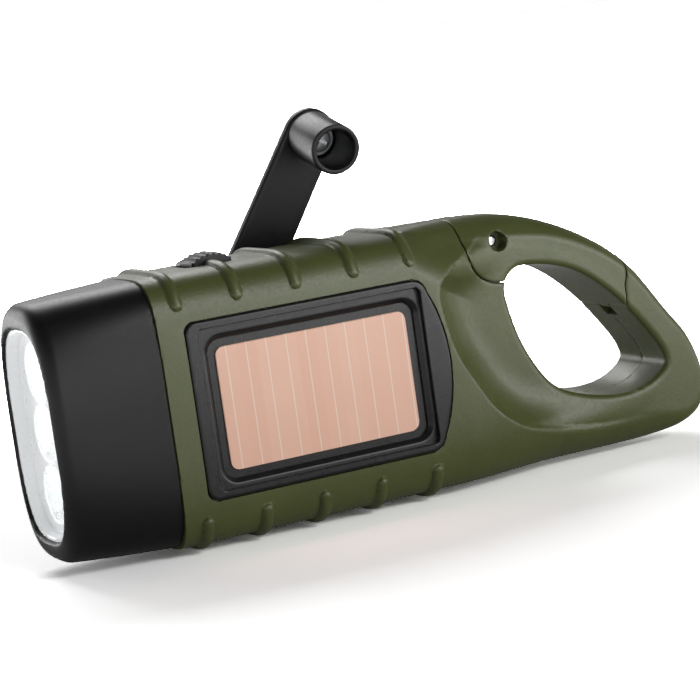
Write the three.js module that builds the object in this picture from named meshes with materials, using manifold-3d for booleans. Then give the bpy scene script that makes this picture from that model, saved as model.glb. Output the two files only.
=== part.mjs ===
// Hand-crank and solar flashlight with a carabiner tail, in millimetres, +Z up.
// The lamp looks along -X, the solar panel along -Y, and the crank sits on the +Y side.

import * as THREE from "three";
import { mergeVertices } from "three/addons/utils/BufferGeometryUtils.js";
import Module from "manifold-3d";

const wasm = await Module();
wasm.setup();

// Body skin
const bodyHalfDepth = 16.2;
const bodyHalfHeight = 25.6;
const bodyStart = -4.6;
const bodySoftEdge = 0.3;
const wall = 1.8;
const panelWall = 2.8;
const skinPower = 5;
const tailPower = 3;
const flatShare = 0.995;
const ringPoints = 32;
const rodSides = 12;
const fineSides = 24;

// Ribs round the narrow faces
const ribPitch = 12;
const ribCount = 5;
const ribRise = 0.9;
const ribCrestHalf = 0.7;
const ribFootHalf = 1.6;
const ribReachShare = 0.8;

// Tail and its carabiner loop
const tailStart = 66;
const tailLength = 48.2;
const taperStart = 56;
const taperEnd = 108;
const softEdgeEnd = 78;
const taperPower = 1.4;
const loopHalfDepth = 9.6;
const loopEdgeRound = 3.5;
const loopRootX = 50;
const holeRimRound = 1.2;
const scoopWallWidth = 3.5;
const skinLap = 0.06;
const outside = 40;
const tailPieces = 26;
const creasePieces = 24;
const holePieces = 28;
const scoopSteps = 3;
const rimSteps = 2;

// Gate
const hingeX = 70.3;
const hingeZ = 20.3;
const gateRootRadius = 7.85;
const gateGap = 0.35;
const noseX = 91.2;
const noseZ = 10;
const noseRadius = 6.85;
const tongueHalf = 2.1;
const tongueRadius = 7.5;
const gatePinRadius = 1;
const gatePinHalf = 6.6;
const gatePinRecessRadius = 1.95;
const gateBoreRadius = 1.15;
const springPocketRadius = 3.5;
const springPocketEnd = 4.8;
const springCoilRadius = 2.4;
const springWireRadius = 0.25;
const springTurns = 2;
const latchX = 97.25;
const latchZ = 3.85;
const latchLength = 4.2;
const latchThickness = 1.1;
const latchHalf = 1.8;
const latchSlope = THREE.MathUtils.degToRad(51);

// Head
const headFront = -26.3;
const headSetBack = 0.35;
const headTaper = 1.25;
const headRearHalfDepth = bodyHalfDepth - headSetBack;
const headRearHalfHeight = bodyHalfHeight - headSetBack;
const headFrontHalfDepth = headRearHalfDepth - headTaper;
const headFrontHalfHeight = headRearHalfHeight - headTaper;
const headFrontPower = 2.9;
const headRearPower = 4.5;
const headEdgeRound = 2.6;
const lipThickness = 1.6;
const lampSideMargin = 2.2;
const lampEndMargin = 4.1;
const lampHalfDepth = headFrontHalfDepth - lampSideMargin;
const lampHalfHeight = headFrontHalfHeight - lampEndMargin;
const lampPower = 3.2;
const headWall = 1.8;
const neckLength = 5;
const neckGap = 0.15;

// Lamp
const trayFloorX = -23.2;
const trayFloorThickness = 1.6;
const trayWall = 0.7;
const lampZ = -0.3;
const lensEndMargin = 2.8;
const lensGap = 0.3;
const lensCount = 3;
const lensFlangeRadius = (lampHalfHeight - lensEndMargin - lensGap) / lensCount;
const lampPitch = lensFlangeRadius * 2 + lensGap;
const lensSeat = 0.3;
const bowlFrontRadius = lensFlangeRadius - lensSeat;
const bowlRearRadius = 2.8;
const bowlWall = 0.8;
const boardFrontX = -12.2;
const boardThickness = 1.4;
const lensFlangeThickness = 0.6;
const lensDome = 0.7;
const ledSide = 3.4;
const ledBaseThickness = 0.8;
const ledDomeRadius = 1.3;

// Solar panel
const panelLeft = 0.5;
const panelStraightEnd = 46.5;
const panelCornerX = 50.2;
const panelBulgeX = 53.25;
const panelMargin = 8.95;
const panelCornerDrop = 2.85;
const panelHalfHeight = bodyHalfHeight - panelMargin;
const panelCornerHalf = panelHalfHeight - panelCornerDrop;
const panelZ = 0.15;
const panelCornerRadius = 2;
const panelProud = 0.3;
const panelFlange = 1.6;
const panelDepth = 4.9;
const panelFaceY = -bodyHalfDepth - panelProud;
const panelSeatY = panelFaceY + panelFlange;
const panelBackY = panelFaceY + panelDepth;
const panelLap = 1.6;
const panelClearance = 0.15;
const panelHookDepth = 3.55;
const panelHookY = panelFaceY + panelHookDepth;
const rimLeft = 2.8;
const rimRight = 48.7;
const rimBand = 1.55;
const rimHalfHeight = panelHalfHeight - rimBand;
const rimStep = 1.2;
const bezelLeft = 5.5;
const bezelRight = 47;
const bezelTopBand = 3;
const bezelBottomBand = 2.3;
const bezelTop = rimHalfHeight - bezelTopBand;
const bezelBottom = bezelBottomBand - rimHalfHeight;
const bezelCornerRadius = 2.4;
const cellMargin = 0.85;
const cellLeft = bezelLeft + cellMargin;
const cellRight = bezelRight - cellMargin * 1.5;
const cellTop = bezelTop - cellMargin;
const cellBottom = bezelBottom + cellMargin;
const cellCornerRadius = 1.7;
const cellThickness = 0.4;
const cellSink = 2.5;
const cellBackY = panelFaceY + cellSink;
const backingMargin = 1.1;
const backingThickness = 1.2;

// Button and its switch
const buttonLeft = 7.8;
const buttonRight = 16.8;
const buttonHalf = 3.7;
const buttonEndRise = 0.8;
const buttonCrown = 2.3;
const buttonFlange = 0.9;
const buttonFlangeThickness = 1;
const buttonGap = 0.3;
const plungerRadius = 1.5;
const plungerDrop = 4.6;
const plungerTop = bodyHalfHeight - plungerDrop;
const plungerLength = 1.8;
const plungerShow = 1;
const switchSide = 6;
const switchHeight = 3.5;
const switchTop = plungerTop - plungerShow;
const switchBottom = switchTop - switchHeight;
const switchReach = 3;

// Main board and cell
const boardGap = 2.1;
const mainBoardY = panelBackY + boardGap;
const mainBoardThickness = 1.2;
const mainBoardLeft = 8.2;
const mainBoardRight = 46.5;
const boardMargin = 7.7;
const mainBoardHalf = bodyHalfHeight - boardMargin;
const boardPostRadius = 1.3;
const boardPostInset = 1;
const boardPostZ = mainBoardHalf - boardPostInset;
const batteryX = 24.4;
const batteryZ = -4;
const batteryRadius = 10;
const batteryThickness = 4;
const holderWall = 0.9;
const holderFloor = 0.8;
const holderDepth = 2.8;

// Crank
const hubX = 17.8;
const crankTurn = THREE.MathUtils.degToRad(29.1);
const armSlope = THREE.MathUtils.degToRad(12.5);
const bushFlangeRadius = 6;
const bushSleeveRadius = 3.5;
const bushBore = 2.5;
const bushFlangeThickness = 0.5;
const shaftRadius = 2.4;
const shaftSquare = 2.6;
const hubRadius = 9;
const hubThickness = 3;
const hubSoftEdge = 0.6;
const foldPinLift = 4;
const foldPinY = bodyHalfDepth + bushFlangeThickness + hubThickness + foldPinLift;
const foldPinRadius = 1;
const earInner = 6.2;
const earOuter = 8.4;
const earRadius = 2.6;
const barrelRadius = 2.6;
const barrelHalf = 6;
const armThickness = 2.5;
const armRootHalf = 5.9;
const armTipRadius = 5.3;
const armLength = 53.5;
const armEdge = 0.4;
const knobRadius = 4.95;
const knobLength = 14;
const knobWall = 1.1;
const knobBase = 2.2;
const knobBore = 1.45;
const knobGap = 0.3;
const knobWasherRadius = 3.4;
const knobWasherThickness = 0.5;
const knobScrewRadius = 1.2;
const knobHeadRadius = 2.5;
const knobHeadHeight = 1.7;
const contactGap = 0.05;

// Generator
const gearModule = 0.5;
const driveTeeth = 48;
const idlerPinionTeeth = 12;
const idlerWheelTeeth = 40;
const rotorTeeth = 10;
const gearRoom = 0.4;
const gearGap = 0.4;
const driveGearThickness = 2.4;
const idlerPinionThickness = 3.2;
const idlerWheelThickness = 2.2;
const rotorPinionThickness = 2.8;
const idlerWheelBelow = 2.6;
const rotorPinionBelow = 0.2;
const idlerPinionY = bodyHalfDepth - wall - idlerPinionThickness - gearRoom * 2.5;
const driveGearY = idlerPinionY + gearGap;
const idlerWheelY = idlerPinionY - idlerWheelBelow;
const rotorPinionY = idlerWheelY - rotorPinionBelow;
const toothShares = [0.27, 0.1];
const addendumShare = 0.8;
const dedendumShare = 1.15;
const pinRadius = 0.9;
const rotorShaftRadius = 0.8;
const plateThickness = 1.4;
const plateBelow = 2.4;
const plateY = rotorPinionY - plateBelow;
const plateLeft = 21.5;
const plateRight = 54.5;
const plateHalf = 15.6;
const plateCorner = 3;
const platePostX = 25;
const platePostZ = 13.2;
const platePostFarX = 46.5;
const platePostFarZ = 12.4;
const postRadius = 2;
const magnetRadius = 5.6;
const magnetLength = 4.6;
const magnetBelow = 5.5;
const rotorFrontY = plateY - magnetBelow;
const bobbinBore = 6.2;
const bobbinRadius = 9.4;
const bobbinWall = 0.8;
const bobbinLength = 6;
const bobbinFrontY = plateY - bobbinLength;
const coilRadius = 9;

// Screws
const screwSides = 12;
const screwRadius = 1.1;
const screwHeadRadius = 2.1;
const screwHeadHeight = 1.5;
const bossRadius = 2.8;
const screwWell = 7.2;
const screwFrontCover = 8.2;
const screwSeatY = bodyHalfDepth - screwWell;
const screwEndY = screwFrontCover - bodyHalfDepth;
const screwNearX = 4.5;
const screwFarX = 50;
const screwMargin = 6.4;
const screwZ = bodyHalfHeight - screwMargin;
const screwTailX = 88;
const screwTailWell = 3.1;
const screwTailSeatY = loopHalfDepth - screwTailWell;
const smallScrewRadius = 0.8;
const smallHeadRadius = 1.7;
const smallHeadHeight = 1.2;
const recessDepthShare = 0.55;
const recessWidthShare = 0.3;
const recessReachShare = 0.62;

// Shares of the tail length and of the body's half height
const tailOutlineShares = [
  [0, 1], [0.193, 0.965], [0.407, 0.828], [0.614, 0.594], [0.73, 0.387], [0.863, 0.023], [0.944, -0.195],
  [0.985, -0.391], [1, -0.566], [0.988, -0.723], [0.944, -0.844], [0.861, -0.934], [0.726, -0.988], [0.539, -1],
];
const holeShares = [
  [0.1, 0.457], [0.149, 0.559], [0.259, 0.561], [0.423, 0.465], [0.573, 0.254], [0.701, -0.02], [0.801, -0.309],
  [0.807, -0.414], [0.726, -0.527], [0.589, -0.574], [0.394, -0.508], [0.268, -0.395], [0.176, -0.152], [0.114, 0.164],
];
const creaseShares = [
  [0.052, 0.945], [-0.052, 0.766], [-0.149, 0.648], [-0.199, 0.547], [-0.211, 0.449], [-0.197, 0.234],
  [-0.164, -0.008], [-0.106, -0.219], [-0.027, -0.465], [0.089, -0.641], [0.218, -0.715], [0.371, -0.766],
  [0.519, -0.785], [0.668, -0.777], [0.83, -0.754], [1.08, -0.703],
];

const half = 0.5;
const turn = Math.PI * 2;
const quarter = Math.PI / 2;
const weld = 1e-5;

// A manifold-3d solid of a closed geometry.
function solidOf(geometry) {
  const bare = geometry.index ? geometry.toNonIndexed() : geometry.clone();
  bare.deleteAttribute("normal");
  bare.deleteAttribute("uv");
  const merged = mergeVertices(bare, weld);
  const corners = new Uint32Array(merged.index.array);
  const make = () => new wasm.Manifold(
    new wasm.Mesh({ numProp: 3, vertProperties: merged.attributes.position.array, triVerts: corners }),
  );
  const made = make();
  if (made.volume() > 0) return made;
  for (let i = 0; i < corners.length; i += 3) {
    [corners[i + 1], corners[i + 2]] = [corners[i + 2], corners[i + 1]];
  }
  return make();
}

function geometryOf(solid) {
  const mesh = solid.getMesh();
  const count = mesh.numProp;
  const places = new Float32Array(mesh.numVert * 3);
  for (let i = 0; i < mesh.numVert; i++) {
    places.set(mesh.vertProperties.subarray(i * count, i * count + 3), i * 3);
  }
  const geometry = new THREE.BufferGeometry();
  geometry.setAttribute("position", new THREE.BufferAttribute(places, 3));
  geometry.setIndex(new THREE.BufferAttribute(mesh.triVerts, 1));
  const flat = geometry.toNonIndexed();
  flat.computeVertexNormals();
  return flat;
}

const cut = (body, ...tools) => tools.reduce((left, tool) => left.subtract(tool), body);
const join = (...solids) => solids.reduce((sum, solid) => sum.add(solid));

// A box between two corners.
function block(x0, x1, y0, y1, z0, z1) {
  const geometry = new THREE.BoxGeometry(x1 - x0, y1 - y0, z1 - z0);
  return solidOf(geometry.translate((x0 + x1) * half, (y0 + y1) * half, (z0 + z1) * half));
}

// A round rod along Y, with its two ends at y0 and y1.
function rodY(x, z, y0, y1, radius, sides = rodSides) {
  const geometry = new THREE.CylinderGeometry(radius, radius, y1 - y0, sides);
  return solidOf(geometry.translate(x, (y0 + y1) * half, z));
}

// A round rod along X, with radius at x0 and farRadius at x1.
function rodX(y, z, x0, x1, radius, farRadius = radius, sides = rodSides) {
  const geometry = new THREE.CylinderGeometry(radius, farRadius, x1 - x0, sides);
  return solidOf(geometry.rotateZ(quarter).translate((x0 + x1) * half, y, z));
}

function rodZ(x, y, z0, z1, radius, sides = rodSides) {
  const geometry = new THREE.CylinderGeometry(radius, radius, z1 - z0, sides);
  return solidOf(geometry.rotateX(quarter).translate(x, y, (z0 + z1) * half));
}

const tubeY = (x, z, y0, y1, radius, bore, sides = rodSides) =>
  cut(rodY(x, z, y0, y1, radius, sides), rodY(x, z, y0 - wall, y1 + wall, bore, sides));

// A shape drawn in x and z, swept along Y from y0 to y1.
function plateY0(shape, y0, y1, curveSegments = 4) {
  const geometry = new THREE.ExtrudeGeometry(shape, { depth: y1 - y0, bevelEnabled: false, curveSegments });
  return solidOf(geometry.rotateX(quarter).translate(0, y1, 0));
}

// Closed skin over rings of equal length, with a flat fan at each end.
function loft(rings) {
  const count = rings[0].length;
  const last = (rings.length - 1) * count;
  const middleOf = (ring) =>
    ring.reduce((sum, point) => sum.add(point), new THREE.Vector3()).divideScalar(count);
  const points = [...rings.flat(), middleOf(rings[0]), middleOf(rings[rings.length - 1])];
  const faces = [];
  for (let i = 0; i < count; i++) {
    const next = (i + 1) % count;
    for (let ring = 0; ring < last; ring += count) {
      faces.push(ring + i, ring + next, ring + next + count);
      faces.push(ring + i, ring + next + count, ring + i + count);
    }
    faces.push(next, i, last + count);
    faces.push(last + i, last + next, last + count + 1);
  }
  const geometry = new THREE.BufferGeometry();
  const places = points.flatMap((point) => point.toArray());
  geometry.setAttribute("position", new THREE.Float32BufferAttribute(places, 3));
  geometry.setIndex(faces);
  return solidOf(geometry);
}

// One ring of a rounded section across X, raised by rise where it goes round the narrow faces.
function ringAt(x, halfDepth, halfHeight, power, middle = 0, rise = 0) {
  return Array.from({ length: ringPoints }, (_, i) => {
    const angle = (i / ringPoints) * turn;
    const part = (value) => Math.sign(value) * Math.min(Math.abs(value) ** (2 / power), flatShare) / flatShare;
    const across = part(Math.cos(angle));
    const up = part(Math.sin(angle));
    const normal = new THREE.Vector2(
      Math.sign(across) * Math.abs(across) ** (power - 1) / halfDepth,
      Math.sign(up) * Math.abs(up) ** (power - 1) / halfHeight,
    ).normalize();
    const lift = Math.abs(up) > ribReachShare ? rise : 0;
    const place = new THREE.Vector2(halfDepth * across, middle + halfHeight * up).addScaledVector(normal, lift);
    return new THREE.Vector3(x, place.x, place.y);
  });
}

const tailPoint = ([along, up]) => new THREE.Vector3(tailStart + tailLength * along, 0, bodyHalfHeight * up);

// Evenly spaced points of a smooth line through the given shares.
function smoothLine(shares, count, closed = false) {
  const curve = new THREE.CatmullRomCurve3(shares.map(tailPoint), closed, "centripetal");
  const points = curve.getSpacedPoints(count);
  return closed ? points.slice(0, -1) : points;
}

const toShape = (points) => new THREE.Shape(points.map((point) => new THREE.Vector2(point.x, point.z)));

// The points of a closed outline moved outward by grow.
function grown(points, grow) {
  const count = points.length;
  const flats = points.map((point) => new THREE.Vector2(point.x, point.z));
  const sense = Math.sign(THREE.ShapeUtils.area(flats));
  return points.map((point, i) => {
    const along = points[(i + 1) % count].clone().sub(points[(i + count - 1) % count]);
    const normal = new THREE.Vector3(along.z, 0, -along.x).normalize().multiplyScalar(sense * grow);
    return point.clone().add(normal);
  });
}

// Height of an outline above x, on its upper or lower side.
function heightAt(points, x, upper) {
  let best = upper ? -outside : outside;
  for (let i = 0; i + 1 < points.length; i++) {
    const [a, b] = [points[i], points[i + 1]];
    if ((a.x - x) * (b.x - x) > 0 || a.x === b.x) continue;
    const z = a.z + ((b.z - a.z) * (x - a.x)) / (b.x - a.x);
    best = upper ? Math.max(best, z) : Math.min(best, z);
  }
  return best;
}

function tailOutline() {
  const root = [new THREE.Vector3(loopRootX, 0, bodyHalfHeight - skinLap)];
  const foot = [new THREE.Vector3(loopRootX, 0, skinLap - bodyHalfHeight)];
  return [...root, ...smoothLine(tailOutlineShares, tailPieces), ...foot];
}

const shareBetween = (x, low, high) => Math.min(Math.max((x - low) / (high - low), 0), 1);

// Half depth of the skin, which narrows along the tail.
const skinHalfDepth = (x) =>
  bodyHalfDepth - (bodyHalfDepth - loopHalfDepth) * shareBetween(x, taperStart, taperEnd) ** taperPower;

// The section is squared along the body and grows rounder towards the tail.
const skinPowerAt = (x) => skinPower + (tailPower - skinPower) * shareBetween(x, taperStart, softEdgeEnd);

// Middle and half of the skin's height at x.
function skinSpan(x, outline) {
  const top = x < tailStart ? bodyHalfHeight : heightAt(outline, x, true) + skinLap;
  const bottom = x < tailStart ? -bodyHalfHeight : heightAt(outline, x, false) - skinLap;
  return [(top + bottom) * half, (top - bottom) * half];
}

// How far the skin stands out in Y at a point of the outline's plane.
function skinDepthAt(point, outline) {
  const [middle, high] = skinSpan(Math.min(point.x, taperEnd), outline);
  const up = Math.min(Math.abs(point.z - middle) / high, flatShare);
  const power = skinPowerAt(point.x);
  return skinHalfDepth(point.x) * (1 - up ** power) ** (1 / power);
}

// Rounded body with its ribs, run on under the tail.
function bodySkin() {
  const rings = [];
  const add = (x, inset = 0, rise = 0) =>
    rings.push(ringAt(x, bodyHalfDepth - inset, bodyHalfHeight - inset, skinPower, 0, rise));
  add(bodyStart, bodySoftEdge);
  add(bodyStart + bodySoftEdge);
  for (let rib = 0; rib < ribCount; rib++) {
    add(rib * ribPitch - ribFootHalf);
    add(rib * ribPitch - ribCrestHalf, 0, ribRise);
    add(rib * ribPitch + ribCrestHalf, 0, ribRise);
    add(rib * ribPitch + ribFootHalf);
  }
  const outline = tailOutline();
  const count = 7;
  for (let i = 0; i <= count; i++) {
    const x = taperStart + ((taperEnd - taperStart) * i) / count;
    const [middle, high] = skinSpan(x, outline);
    rings.push(ringAt(x, skinHalfDepth(x), high, skinPowerAt(x), middle));
  }
  return loft(rings);
}

// Hollow side of the tail: a sharp foot line on the flat loop face, rounded up into the body.
function scoopTool() {
  const line = smoothLine(creaseShares, creasePieces);
  const lidEnds = [line[creasePieces].x, line[0].x + loopEdgeRound];
  const outline = [...line, ...lidEnds.map((x) => new THREE.Vector3(x, 0, outside))];
  const edge = tailOutline();
  const rings = [];
  const steps = scoopSteps;
  const ring = (side, step) => {
    const angle = (quarter * step) / steps;
    const moved = grown(outline, scoopWallWidth * (1 - Math.cos(angle)));
    return moved.map((point, i) => {
      const rise = Math.max(skinDepthAt(outline[i], edge) - loopHalfDepth, gateGap) + skinLap;
      return point.setY(side * (loopHalfDepth + rise * Math.sin(angle)));
    });
  };
  rings.push(ring(-1, steps).map((point) => point.clone().setY(-outside)));
  for (let step = steps; step >= 0; step--) rings.push(ring(-1, step));
  for (let step = 0; step <= steps; step++) rings.push(ring(1, step));
  rings.push(ring(1, steps).map((point) => point.clone().setY(outside)));
  return loft(rings);
}

// Flat tail with rounded outer edges.
function tailPlate() {
  const geometry = new THREE.ExtrudeGeometry(toShape(tailOutline()), {
    depth: (loopHalfDepth - loopEdgeRound) * 2,
    bevelThickness: loopEdgeRound,
    bevelSize: loopEdgeRound,
    bevelOffset: -loopEdgeRound,
    bevelSegments: rimSteps,
  });
  return solidOf(geometry.rotateX(quarter).translate(0, loopHalfDepth - loopEdgeRound, 0));
}

// Loop opening, wider towards both faces.
function holeTool() {
  const outline = smoothLine(holeShares, holePieces, true);
  const steps = rimSteps;
  const rings = [];
  const ring = (side, step) => {
    const angle = (quarter * step) / steps;
    const moved = grown(outline, holeRimRound * (1 - Math.cos(angle)));
    return moved.map((point) => point.setY(side * (loopHalfDepth - holeRimRound * (1 - Math.sin(angle)))));
  };
  rings.push(ring(-1, steps).map((point) => point.clone().setY(-outside)));
  for (let step = steps; step >= 0; step--) rings.push(ring(-1, step));
  for (let step = 0; step <= steps; step++) rings.push(ring(1, step));
  rings.push(ring(1, steps).map((point) => point.clone().setY(outside)));
  return loft(rings);
}

// Region of the gate in x and z, with grow added where it meets the housing.
function gateRegion(grow) {
  const shape = new THREE.Shape();
  const root = gateRootRadius + grow;
  const nose = noseRadius + grow;
  const noseTop = Math.PI / 4;
  const noseLow = -Math.PI / 7;
  shape.moveTo(noseX, outside);
  shape.lineTo(hingeX - root * 1.25 - grow, outside);
  shape.lineTo(hingeX - root * 1.25, hingeZ + root * 0.75);
  shape.lineTo(hingeX - root, hingeZ);
  shape.absarc(hingeX, hingeZ, root, Math.PI, turn * 0.79, false);
  shape.lineTo(noseX - noseRadius * 0.3, noseZ - noseRadius);
  shape.lineTo(noseX + noseRadius * 0.89 + grow, noseZ - noseRadius * 1.17);
  shape.absarc(noseX, noseZ, nose, noseLow, noseTop, false);
  shape.lineTo(noseX + noseRadius * 0.4 + grow, outside);
  return plateY0(shape, -outside, outside, 8);
}

// Middle web of the hinge, shared by the housing's tongue and the slot that takes it.
function hingeWeb(halfWidth, radius) {
  const disc = rodY(hingeX, hingeZ, -halfWidth, halfWidth, radius, fineSides);
  return join(disc, block(taperStart, hingeX, -halfWidth, halfWidth, hingeZ - gateRootRadius * half, outside));
}

// A block of the latch, turned to lie along the hook's inner wall.
function latchBlock(length, low, high, halfWidth, slide = 0) {
  const geometry = new THREE.BoxGeometry(length, halfWidth * 2, high - low);
  geometry.translate(slide, 0, (high + low) * half).rotateY(latchSlope);
  return solidOf(geometry.translate(latchX, 0, latchZ));
}

// Body and tail in one, and the flat loop alone, which the gate and the tongue are cut from.
const outerForm = () => cut(join(cut(bodySkin(), scoopTool()), tailPlate()), holeTool());
const loopForm = () => cut(tailPlate(), holeTool());

function gateSolid(loop) {
  const lip = latchBlock(latchLength, -latchThickness * half, latchThickness * half, latchHalf);
  return cut(
    join(loop.intersect(gateRegion(0)), lip),
    hingeWeb(tongueHalf + gateGap, gateRootRadius + gateGap),
    rodY(hingeX, hingeZ, -outside, outside, gateBoreRadius),
    rodY(hingeX, hingeZ, -outside, -gatePinHalf, gatePinRecessRadius),
    rodY(hingeX, hingeZ, gatePinHalf, outside, gatePinRecessRadius),
    rodY(hingeX, hingeZ, tongueHalf, springPocketEnd, springPocketRadius),
  );
}

// Box and cylinder of the stowed crank, let into the back of the body.
function stowTools() {
  const clear = armThickness * half + gateGap;
  const length = armLength + armTipRadius * 2;
  const channel = new THREE.BoxGeometry(length, outside, (armRootHalf + gateGap * 2) * 2);
  channel.translate(length * half + hubRadius, outside * half - clear, 0);
  const reach = knobLength + knobGap + armThickness;
  const room = knobRadius + wall * half;
  const pocket = new THREE.CylinderGeometry(room, room, reach + outside, fineSides);
  pocket.translate(armLength, (outside - reach) * half, 0);
  return [channel, pocket].map((geometry) => solidOf(geometry.rotateZ(-armSlope).translate(hubX, foldPinY, 0)));
}

// Inner room of the two shells.
function cavity() {
  const middle = (panelWall - wall) * half;
  const depth = bodyHalfDepth - (panelWall + wall) * half;
  const height = bodyHalfHeight - wall;
  const rings = [bodyStart - wall, plateRight - wall * 4].map((x) =>
    ringAt(x, depth, height, skinPower).map((point) => point.add(new THREE.Vector3(0, middle, 0))),
  );
  const roomHalf = loopHalfDepth - wall - skinLap;
  const far = block(plateLeft, plateRight + wall, -roomHalf, roomHalf, -plateHalf - wall, plateHalf);
  return join(loft(rings), far);
}

// Places of the housing screws in x and z, with the depth of each one's seat.
const screwPlaces = () => [
  [screwNearX, screwZ, screwSeatY],
  [screwNearX, -screwZ, screwSeatY],
  [screwFarX, screwZ, screwSeatY],
  [screwFarX, -screwZ, screwSeatY],
  [screwTailX, -screwZ - screwRadius, screwTailSeatY],
];

const keepNear = () => block(-outside, outside * 4, -outside, 0, -outside, outside);
const keepFar = () => block(-outside, outside * 4, 0, outside, -outside, outside);

// Both shells as one solid, before they are parted at y = 0.
function shellBody(form, loop) {
  const slot = latchBlock(latchLength + latchThickness * 2, -wall, latchThickness * half + gateGap, latchHalf + gateGap,
    latchThickness);
  const inner = cavity();
  const web = loop.intersect(hingeWeb(tongueHalf, tongueRadius));
  const bosses = screwPlaces().slice(0, -1).map(([x, z]) =>
    rodY(x, z, -bodyHalfDepth + wall, bodyHalfDepth - wall, bossRadius),
  );
  return cut(
    join(cut(form, gateRegion(gateGap), inner), cut(web, inner), ...bosses),
    slot,
    ...stowTools(),
    rodY(hingeX, hingeZ, -tongueHalf - wall, tongueHalf + wall, gatePinRadius + contactGap),
    block(
      buttonLeft - buttonGap, buttonRight + buttonGap, -buttonHalf - buttonGap, buttonHalf + buttonGap,
      bodyHalfHeight - wall * 2, outside,
    ),
  );
}

// Outline of the panel frame in x and z, made smaller by inset.
function panelShape(inset) {
  const shape = new THREE.Shape();
  const left = panelLeft + inset;
  const top = panelHalfHeight - inset;
  const corner = Math.max(panelCornerRadius - inset * half, panelCornerRadius * half);
  const bulge = panelBulgeX - panelCornerX;
  const radius = (panelCornerHalf ** 2 + bulge ** 2) / (2 * bulge);
  const sweep = Math.asin(panelCornerHalf / radius);
  const centre = panelBulgeX - radius;
  const rightEnd = centre + (radius - inset) * Math.cos(sweep);
  const sideEnd = (radius - inset) * Math.sin(sweep);
  const rise = (z) => panelZ + z;
  shape.moveTo(left + corner, rise(-top));
  shape.lineTo(panelStraightEnd, rise(-top));
  shape.quadraticCurveTo(rightEnd - bulge * 0.2, rise(-top), rightEnd, rise(-sideEnd));
  shape.absarc(centre, panelZ, radius - inset, -sweep, sweep, false);
  shape.quadraticCurveTo(rightEnd - bulge * 0.2, rise(top), panelStraightEnd, rise(top));
  shape.lineTo(left + corner, rise(top));
  shape.absarc(left + corner, rise(top - corner), corner, quarter, Math.PI, false);
  shape.lineTo(left, rise(corner - top));
  shape.absarc(left + corner, rise(corner - top), corner, Math.PI, quarter * 3, false);
  return shape;
}

// A rectangle with round corners.
function roundedRectangle(left, right, bottom, top, corner) {
  const shape = new THREE.Shape();
  shape.moveTo(right - corner, bottom);
  shape.absarc(right - corner, bottom + corner, corner, -quarter, 0, false);
  shape.absarc(right - corner, top - corner, corner, 0, quarter, false);
  shape.absarc(left + corner, top - corner, corner, quarter, Math.PI, false);
  shape.absarc(left + corner, bottom + corner, corner, Math.PI, quarter * 3, false);
  return shape;
}

function frontHousing(shell) {
  const posts = [[mainBoardLeft + wall * 2, 1], [mainBoardRight - wall, 1], [mainBoardLeft + wall * 2, -1],
    [mainBoardRight - wall, -1]];
  const columns = posts.map(([x, side]) =>
    rodY(x, side * boardPostZ, -bodyHalfDepth + wall, mainBoardY, boardPostRadius),
  );
  const pilots = screwPlaces().map(([x, z]) => rodY(x, z, screwEndY - gateGap, wall, screwRadius + contactGap));
  const body = join(shell.intersect(keepNear()), ...columns);
  return cut(
    body,
    plateY0(panelShape(-panelClearance), -outside, panelSeatY),
    plateY0(panelShape(panelLap - panelClearance), -outside, panelBackY + panelClearance),
    ...pilots,
  );
}

function rearHousing(shell) {
  const bosses = gearPosts().map(([x, z]) =>
    rodY(x, z, plateY + plateThickness, bodyHalfDepth - wall * half, postRadius),
  );
  const stubs = [
    rodY(idlerX, 0, idlerPinionY + idlerPinionThickness + contactGap, bodyHalfDepth - wall * half, postRadius),
    rodY(rotorX, 0, bodyHalfDepth - wall * 2, bodyHalfDepth - wall * half, postRadius),
  ];
  const bores = screwPlaces().flatMap(([x, z, seat]) => [
    rodY(x, z, -wall, outside, screwRadius + contactGap * 2),
    rodY(x, z, seat, outside, screwHeadRadius + gateGap),
  ]);
  const pilots = gearPosts().map(([x, z]) => rodY(x, z, plateY, plateY + bossRadius * 2, smallScrewRadius + contactGap));
  return cut(
    join(shell.intersect(keepFar()), ...bosses, ...stubs),
    ...bores,
    ...pilots,
    rodY(hubX, 0, 0, outside, bushSleeveRadius + contactGap),
    rodY(idlerX, 0, 0, bodyHalfDepth - wall * half, pinRadius + contactGap),
    rodY(rotorX, 0, 0, bodyHalfDepth - wall - gateGap + contactGap, rotorShaftRadius + contactGap * 2),
    rodY(rotorX, 0, plateY, rotorPinionY + rotorPinionThickness + gateGap, pitchRadius(rotorTeeth) + wall * half, fineSides),
  );
}

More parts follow.
